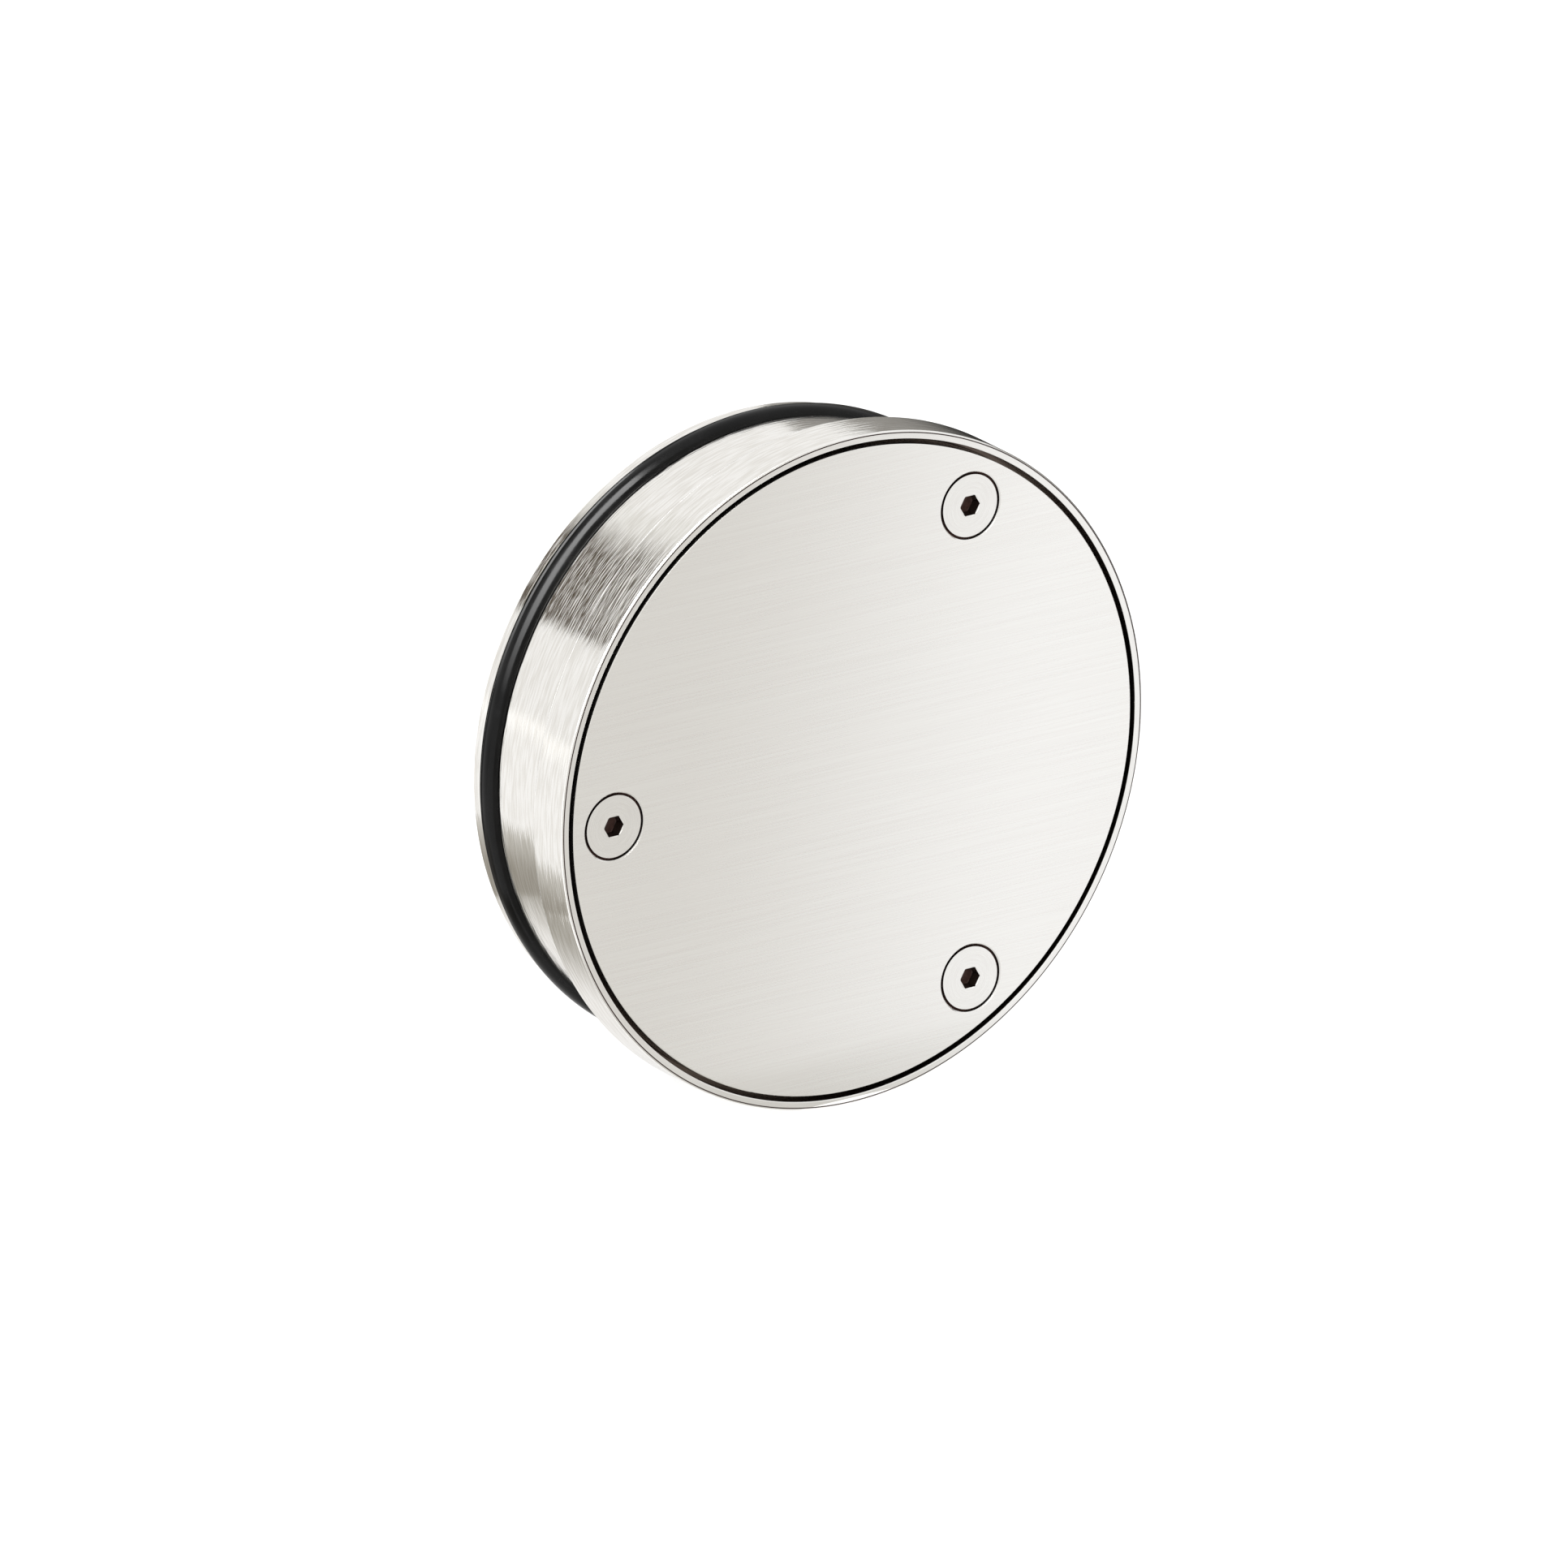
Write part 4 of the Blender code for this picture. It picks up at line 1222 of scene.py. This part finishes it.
@dataclass
class Drive(Assembly):
    """The spindle, the handwheel and what holds the wheel on."""

    thread_radius: float = 8.0
    pitch: float = 4.0
    collar: float = 10.5
    collar_front: float = 25.3
    collar_back: float = 28.0
    journal: float = 6.0
    journal_back: float = 41.1
    seat: float = 5.0
    seat_tapped: float = 2.8
    seat_tapped_depth: float = 12.0
    thread_depth: float = 1.9
    hub: float = 11.0
    hub_bore: float = 5.3
    rim_section: float = 4.5
    rim_depth: float = 8.4        # from the hub's front to the middle of the rim
    spoke_width: float = 8.0
    spoke_thickness: float = 5.0

    def spindle(self) -> None:
        """Turn the spindle and cut its trapezoidal thread."""
        front, back, _ = span("spindle")
        rows = int((self.collar_front - front) / self.pitch * 12)
        step = (self.collar_front - front) / rows
        wall = [(self.thread_radius, front + 0.5 + (step * row) * (1 - 0.5 / (step * rows)))
                for row in range(rows + 1)]
        outline = [(0.0, front), (self.thread_radius - 0.6, front)] + wall[:-1] + [
            (self.thread_radius, self.collar_front), (self.collar, self.collar_front, 0.3),
            (self.collar, self.collar_back, 0.3), (self.journal, self.collar_back),
            (self.journal, self.journal_back, 0.3), (self.seat, self.journal_back),
            (self.seat, back, 0.4), (0.0, back)]
        body = lathe(outline, 72)
        thread(body, front + 0.6, self.collar_front - 0.5, self.thread_radius,
               self.pitch, self.thread_depth)
        screw = make_object("spindle_threaded", body)
        hole = drum(self.seat_tapped, back - self.seat_tapped_depth, back + 1, 0.0, 32)
        work(screw, hole, Operation.CUT)
        dress(screw, self.finishes.polished, "drive", "turned_steel", "spindle")

    def wheel(self) -> None:
        """Build the wheel from hub, rim and three spokes."""
        low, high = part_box("handwheel")
        front, back = low.y / MM, high.y / MM
        outer = max(high.x, -low.x) / MM
        rim = outer - self.rim_section
        middle = front + self.rim_depth
        outline = [(0.0, front), (self.hub, front, 0.6), (self.hub, back, 1.2), (0.0, back)]
        wheel = make_object("handwheel_cast", lathe(outline, HUB_STEPS))
        hoop = bmesh.new()
        bmesh.ops.create_circle(hoop, segments=32, radius=self.rim_section * MM)
        bmesh.ops.translate(hoop, verts=hoop.verts, vec=(rim * MM, middle * MM, 0))
        bmesh.ops.spin(hoop, geom=hoop.verts[:] + hoop.edges[:], cent=(0, 0, 0), axis=(0, 1, 0),
                       angle=2 * math.pi, steps=144, use_merge=True)
        bmesh.ops.remove_doubles(hoop, verts=hoop.verts, dist=1e-7)
        bmesh.ops.recalc_face_normals(hoop, faces=hoop.faces)
        for angle in GUIDE_ANGLES:
            spoke = bar(rim, self.spoke_thickness, self.spoke_width, middle, 1.6, 4)
            work(wheel, turn_about_axis(spoke, angle), Operation.ADD)
        work(wheel, hoop, Operation.ADD)
        work(wheel, drum(self.hub_bore, front - 2, back + 2), Operation.CUT)
        dress(wheel, self.finishes.polished, "drive", "brushed_steel", "handwheel")

    def fixings(self) -> None:
        """Make the washer."""
        front, back, outer = span("wheel_washer")
        hole = self.seat_tapped
        outline = [(hole, front), (outer, front, 0.2), (outer, back, 0.3), (hole, back, 0.2)]
        washer = make_object("wheel_washer_pressed", lathe(outline, 72))
        dress(washer, self.finishes.polished, "drive", "screw_steel", "wheel_washer")

    def build(self) -> None:
        """Make the whole drive."""
        self.spindle()
        self.wheel()
        self.fixings()


# ---------------------------------------------------------------- studio


@dataclass
class Studio:
    """The pale floor, the soft lights, the glowing cards that paint reflections, and the camera."""

    azimuth: float = -35.0
    elevation: float = 19.9
    width: float = 378.6          # mm across the frame
    shift_right: float = -16.44   # the frame's middle, from the cover's centre, mm
    shift_up: float = -3.29
    distance: float = 1.6         # metres
    sky: float = 1.0
    floor_glow: float = 0.70

    def axes(self) -> tuple[Vector, Vector, Vector]:
        """Work out the camera's directions.

        Returns:
            Its right, up and back directions.
        """
        a, e = math.radians(self.azimuth), math.radians(self.elevation)
        back = Vector((math.sin(a) * math.cos(e), -math.cos(a) * math.cos(e), math.sin(e)))
        right = Vector((math.cos(a), math.sin(a), 0.0))
        return right, back.cross(right), back

    def camera(self) -> None:
        """Set up a parallel-projection camera."""
        right, up, back = self.axes()
        low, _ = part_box("cover_disc")
        centre = Vector((0.0, low.y, 0.0))
        aim = centre + right * self.shift_right * MM + up * self.shift_up * MM
        data = bpy.data.cameras.new("studio_camera")
        data.type = "ORTHO"
        data.ortho_scale = self.width * MM
        data.clip_end = 20.0
        seat = bpy.data.objects.new("studio_camera", data)
        spin = Matrix((right, up, back)).transposed().to_4x4()
        seat.matrix_world = Matrix.Translation(aim + back * self.distance) @ spin
        bpy.context.scene.collection.objects.link(seat)
        bpy.context.scene.camera = seat

    def floor(self) -> None:
        """Lay a pale, softly glowing floor under the ring, which keeps shadows faint."""
        low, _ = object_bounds()
        body = bmesh.new()
        bmesh.ops.create_grid(body, x_segments=1, y_segments=1, size=6.0)
        bmesh.ops.translate(body, verts=body.verts, vec=(0, 0, low.z))
        ground = make_object("studio_floor", body)
        material, tree, shader = blank_material("back_lit_opal_acrylic_floor")
        place = add_node(tree, "ShaderNodeTexCoord")
        mottle = add_node(tree, "ShaderNodeTexNoise", {}, {
            "Vector": place.outputs["Object"], "Scale": 3.0})
        tint = add_node(tree, "ShaderNodeMix", {"data_type": "RGBA"}, {
            "Factor": mottle.outputs["Fac"], 6: linear("B8B8B7"), 7: linear("BCBCBC")})
        wire(tree, shader, {
            "Base Color": tint.outputs[2], "Emission Color": linear("FFFFFF"),
            "Emission Strength": self.floor_glow, "Roughness": 0.8, "Specular IOR Level": 0.1})
        ground.data.materials.append(material)
        ground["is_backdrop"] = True

    def light(self, name: str, place: Corner, size: Point, power: float) -> None:
        """Hang a soft box that faces the porthole.

        Args:
            name: its name.
            place: where it hangs, metres.
            size: its width and height, metres.
            power: its power, watts.
        """
        data = bpy.data.lights.new(name, "AREA")
        data.shape = "RECTANGLE"
        data.size, data.size_y = size
        data.energy = power
        lamp = bpy.data.objects.new(name, data)
        lamp.location = place
        lamp.rotation_euler = (-Vector(place)).to_track_quat("-Z", "Y").to_euler()
        bpy.context.scene.collection.objects.link(lamp)
        lamp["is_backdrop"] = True

    def card(self, name: str, place: Corner, along: Corner, facing: Corner, size: Point,
             shades: tuple[str, str], blend: Point, strength: float = 1.0) -> None:
        """Stand a glowing card that only reflections see: it paints reflected light and shade.

        Args:
            name: its name.
            place: its middle, metres.
            along: the direction of its length.
            facing: the direction of its face.
            size: its length and width, metres.
            shades: its colours at the start and at the end of its length, sRGB hex.
            blend: where one shade starts to turn into the other and where it ends, metres
                along its length from its middle.
            strength: how brightly it glows.
        """
        lengthwise, normal = Vector(along).normalized(), Vector(facing).normalized()
        crosswise = normal.cross(lengthwise).normalized()
        body = bmesh.new()
        bmesh.ops.create_grid(body, x_segments=1, y_segments=1, size=0.5)
        bmesh.ops.scale(body, verts=body.verts, vec=(size[0], size[1], 1.0))
        turn = Matrix((lengthwise, crosswise, lengthwise.cross(crosswise))).transposed().to_4x4()
        bmesh.ops.transform(body, verts=body.verts, matrix=Matrix.Translation(place) @ turn)
        made = make_object(name, body)
        material = bpy.data.materials.new(name + "_painted_reflection")
        material.use_nodes = True
        tree = material.node_tree
        tree.nodes.clear()
        where = add_node(tree, "ShaderNodeTexCoord")
        reach = add_node(tree, "ShaderNodeVectorMath", {"operation": "DOT_PRODUCT"}, {
            0: where.outputs["Object"], 1: lengthwise})
        middle = lengthwise.dot(Vector(place))
        share = add_node(tree, "ShaderNodeMapRange", {"interpolation_type": "SMOOTHSTEP"}, {
            "Value": reach.outputs["Value"], "From Min": middle + blend[0],
            "From Max": middle + blend[1]})
        mixed = add_node(tree, "ShaderNodeMix", {"data_type": "RGBA"}, {
            "Factor": share.outputs["Result"], 6: linear(shades[0]), 7: linear(shades[1])})
        glow = add_node(tree, "ShaderNodeEmission", {}, {
            "Color": mixed.outputs[2], "Strength": strength})
        add_node(tree, "ShaderNodeOutputMaterial", {}, {"Surface": glow.outputs["Emission"]})
        made.data.materials.append(material)
        # Painted reflections: the card glows in its graded shades, and only glossy rays see it.
        made.visible_camera = False
        made.visible_diffuse = False
        made.visible_shadow = False
        made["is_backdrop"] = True

    def build(self) -> None:
        """Light the scene."""
        scene = bpy.context.scene
        scene.view_settings.view_transform = "Standard"
        world = bpy.data.worlds.new("studio_world")
        world.use_nodes = True
        wire(world.node_tree, world.node_tree.nodes["Background"], {
            "Color": linear("FFFFFF"), "Strength": self.sky})
        scene.world = world
        self.floor()
        self.light("soft_box_key", (-0.7, -1.0, 1.3), (0.8, 0.8), 5.0)
        # Painted reflections: these cards paint the walls' dark bands, the face's shading, the dark
        # right edge, the rubber's highlight and the glint at the seam.
        self.card("upper_band_card", (-0.226, 0.46, 0.339), (0.785, 0.0, 0.62),
                  (0.396, -0.770, -0.500), (0.35, 0.10), ("594F43", "F4F4F2"), (0.015, 0.135))
        self.card("lower_band_card", (-0.107, 0.089, -0.0765), (0.616, 0.0, -0.787),
                  (0.372, -0.770, 0.519), (0.060, 0.060), ("D2D0CB", "A5A199"), (-0.030, -0.002))
        self.card("under_card", (-0.02, 0.12, -0.0835), (1.0, 0.0, 0.0),
                  (0.0, 0.0, 1.0), (0.20, 0.22), ("B4B1AA", "FBFAF9"), (-0.084, -0.044))
        self.card("side_floor_card", (-0.56, 0.65, -0.0845), (1.0, 0.0, 0.0),
                  (0.0, 0.0, 1.0), (0.82, 1.1), ("FFFFFF", "FFFFFF"), (-0.4, 0.4), 1.045)
        self.card("right_edge_card", (0.24, 0.10, 0.0), (0.0, 0.0, 1.0),
                  (-0.87, -0.40, 0.0), (0.34, 0.34), ("0E0D0C", "9A9894"), (0.0, 0.12))
        self.card("front_card", (0.05, -0.04, 0.0), (1.0, 0.0, -0.12),
                  (0.0, 1.0, 0.0), (0.40, 0.34), ("DEDCD8", "FFFFFF"), (-0.095, 0.036))
        self.card("front_floor_card", (0.05, -0.035, -0.084), (1.0, 0.0, 0.0),
                  (0.0, 0.0, 1.0), (0.34, 0.05), ("D2D0CB", "F4F4F3"), (-0.09, 0.03))
        self.card("rubber_strip_card", (-0.66, -0.10, 0.66), (0.785, 0.0, 0.62),
                  (0.68, 0.10, -0.68), (1.3, 0.85), ("8A8A8A", "FFFFFF"), (-0.6, 0.1), 20.0)
        self.card("back_glint_card", (0.05, 0.70, 0.06), (1.0, 0.0, 0.0),
                  (0.0, -1.0, 0.0), (0.35, 0.35), ("FFFFFF", "FFFFFF"), (-0.1, 0.1), 2.5)
        self.camera()


def cap_screws(finishes: Finishes) -> Iterable[CapScrew]:
    """List the socket-head cap screws.

    Args:
        finishes: the shared materials.

    Returns:
        The six M4 screws that draw up the rear ring, the three M6 screws that hold the
        bridge, the three M4 screws that hold the nut, and the M5 screw in the wheel.
    """
    for number, angle in enumerate(CLAMP_ANGLES, 1):
        yield CapScrew(finishes, f"clamp_screw_{number}", 71.5, angle, head=3.5, height=4.0,
                       shank=2.0, pitch=0.7, socket=3.0, body="frame")
    for number, angle in enumerate(TIE_ANGLES, 1):
        yield CapScrew(finishes, f"bridge_screw_{number}", 70.0, angle, head=5.0, height=6.0,
                       shank=3.0, pitch=1.0, socket=4.3, body="frame")
    for number, angle in enumerate(TIE_ANGLES, 1):
        yield CapScrew(finishes, f"nut_screw_{number}", 17.5, angle, head=3.5, height=3.0,
                       shank=2.0, pitch=0.7, socket=3.0, body="cover")
    yield CapScrew(finishes, "wheel_screw", 0.0, 0.0, head=4.75, height=2.8, shank=2.5,
                   pitch=0.8, socket=3.0, body="drive")


def main() -> None:
    """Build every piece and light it."""
    logging.basicConfig(level=logging.INFO, format="%(name)s: %(message)s")
    finishes = Finishes()
    for assembly in (FrontRing, Barrel, Rubbers, RearRing, Bridge, Bushes, Cover, Pillars,
                     SpindleNut, Drive):
        assembly(finishes).build()
    for screw in cap_screws(finishes):
        screw.build()
    Studio().build()
    model_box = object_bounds()
    for corner in (*CAD_BOX, *model_box):
        log.info("box corner %s", [round(value, 5) for value in corner])


if __name__ == "__main__":
    main()
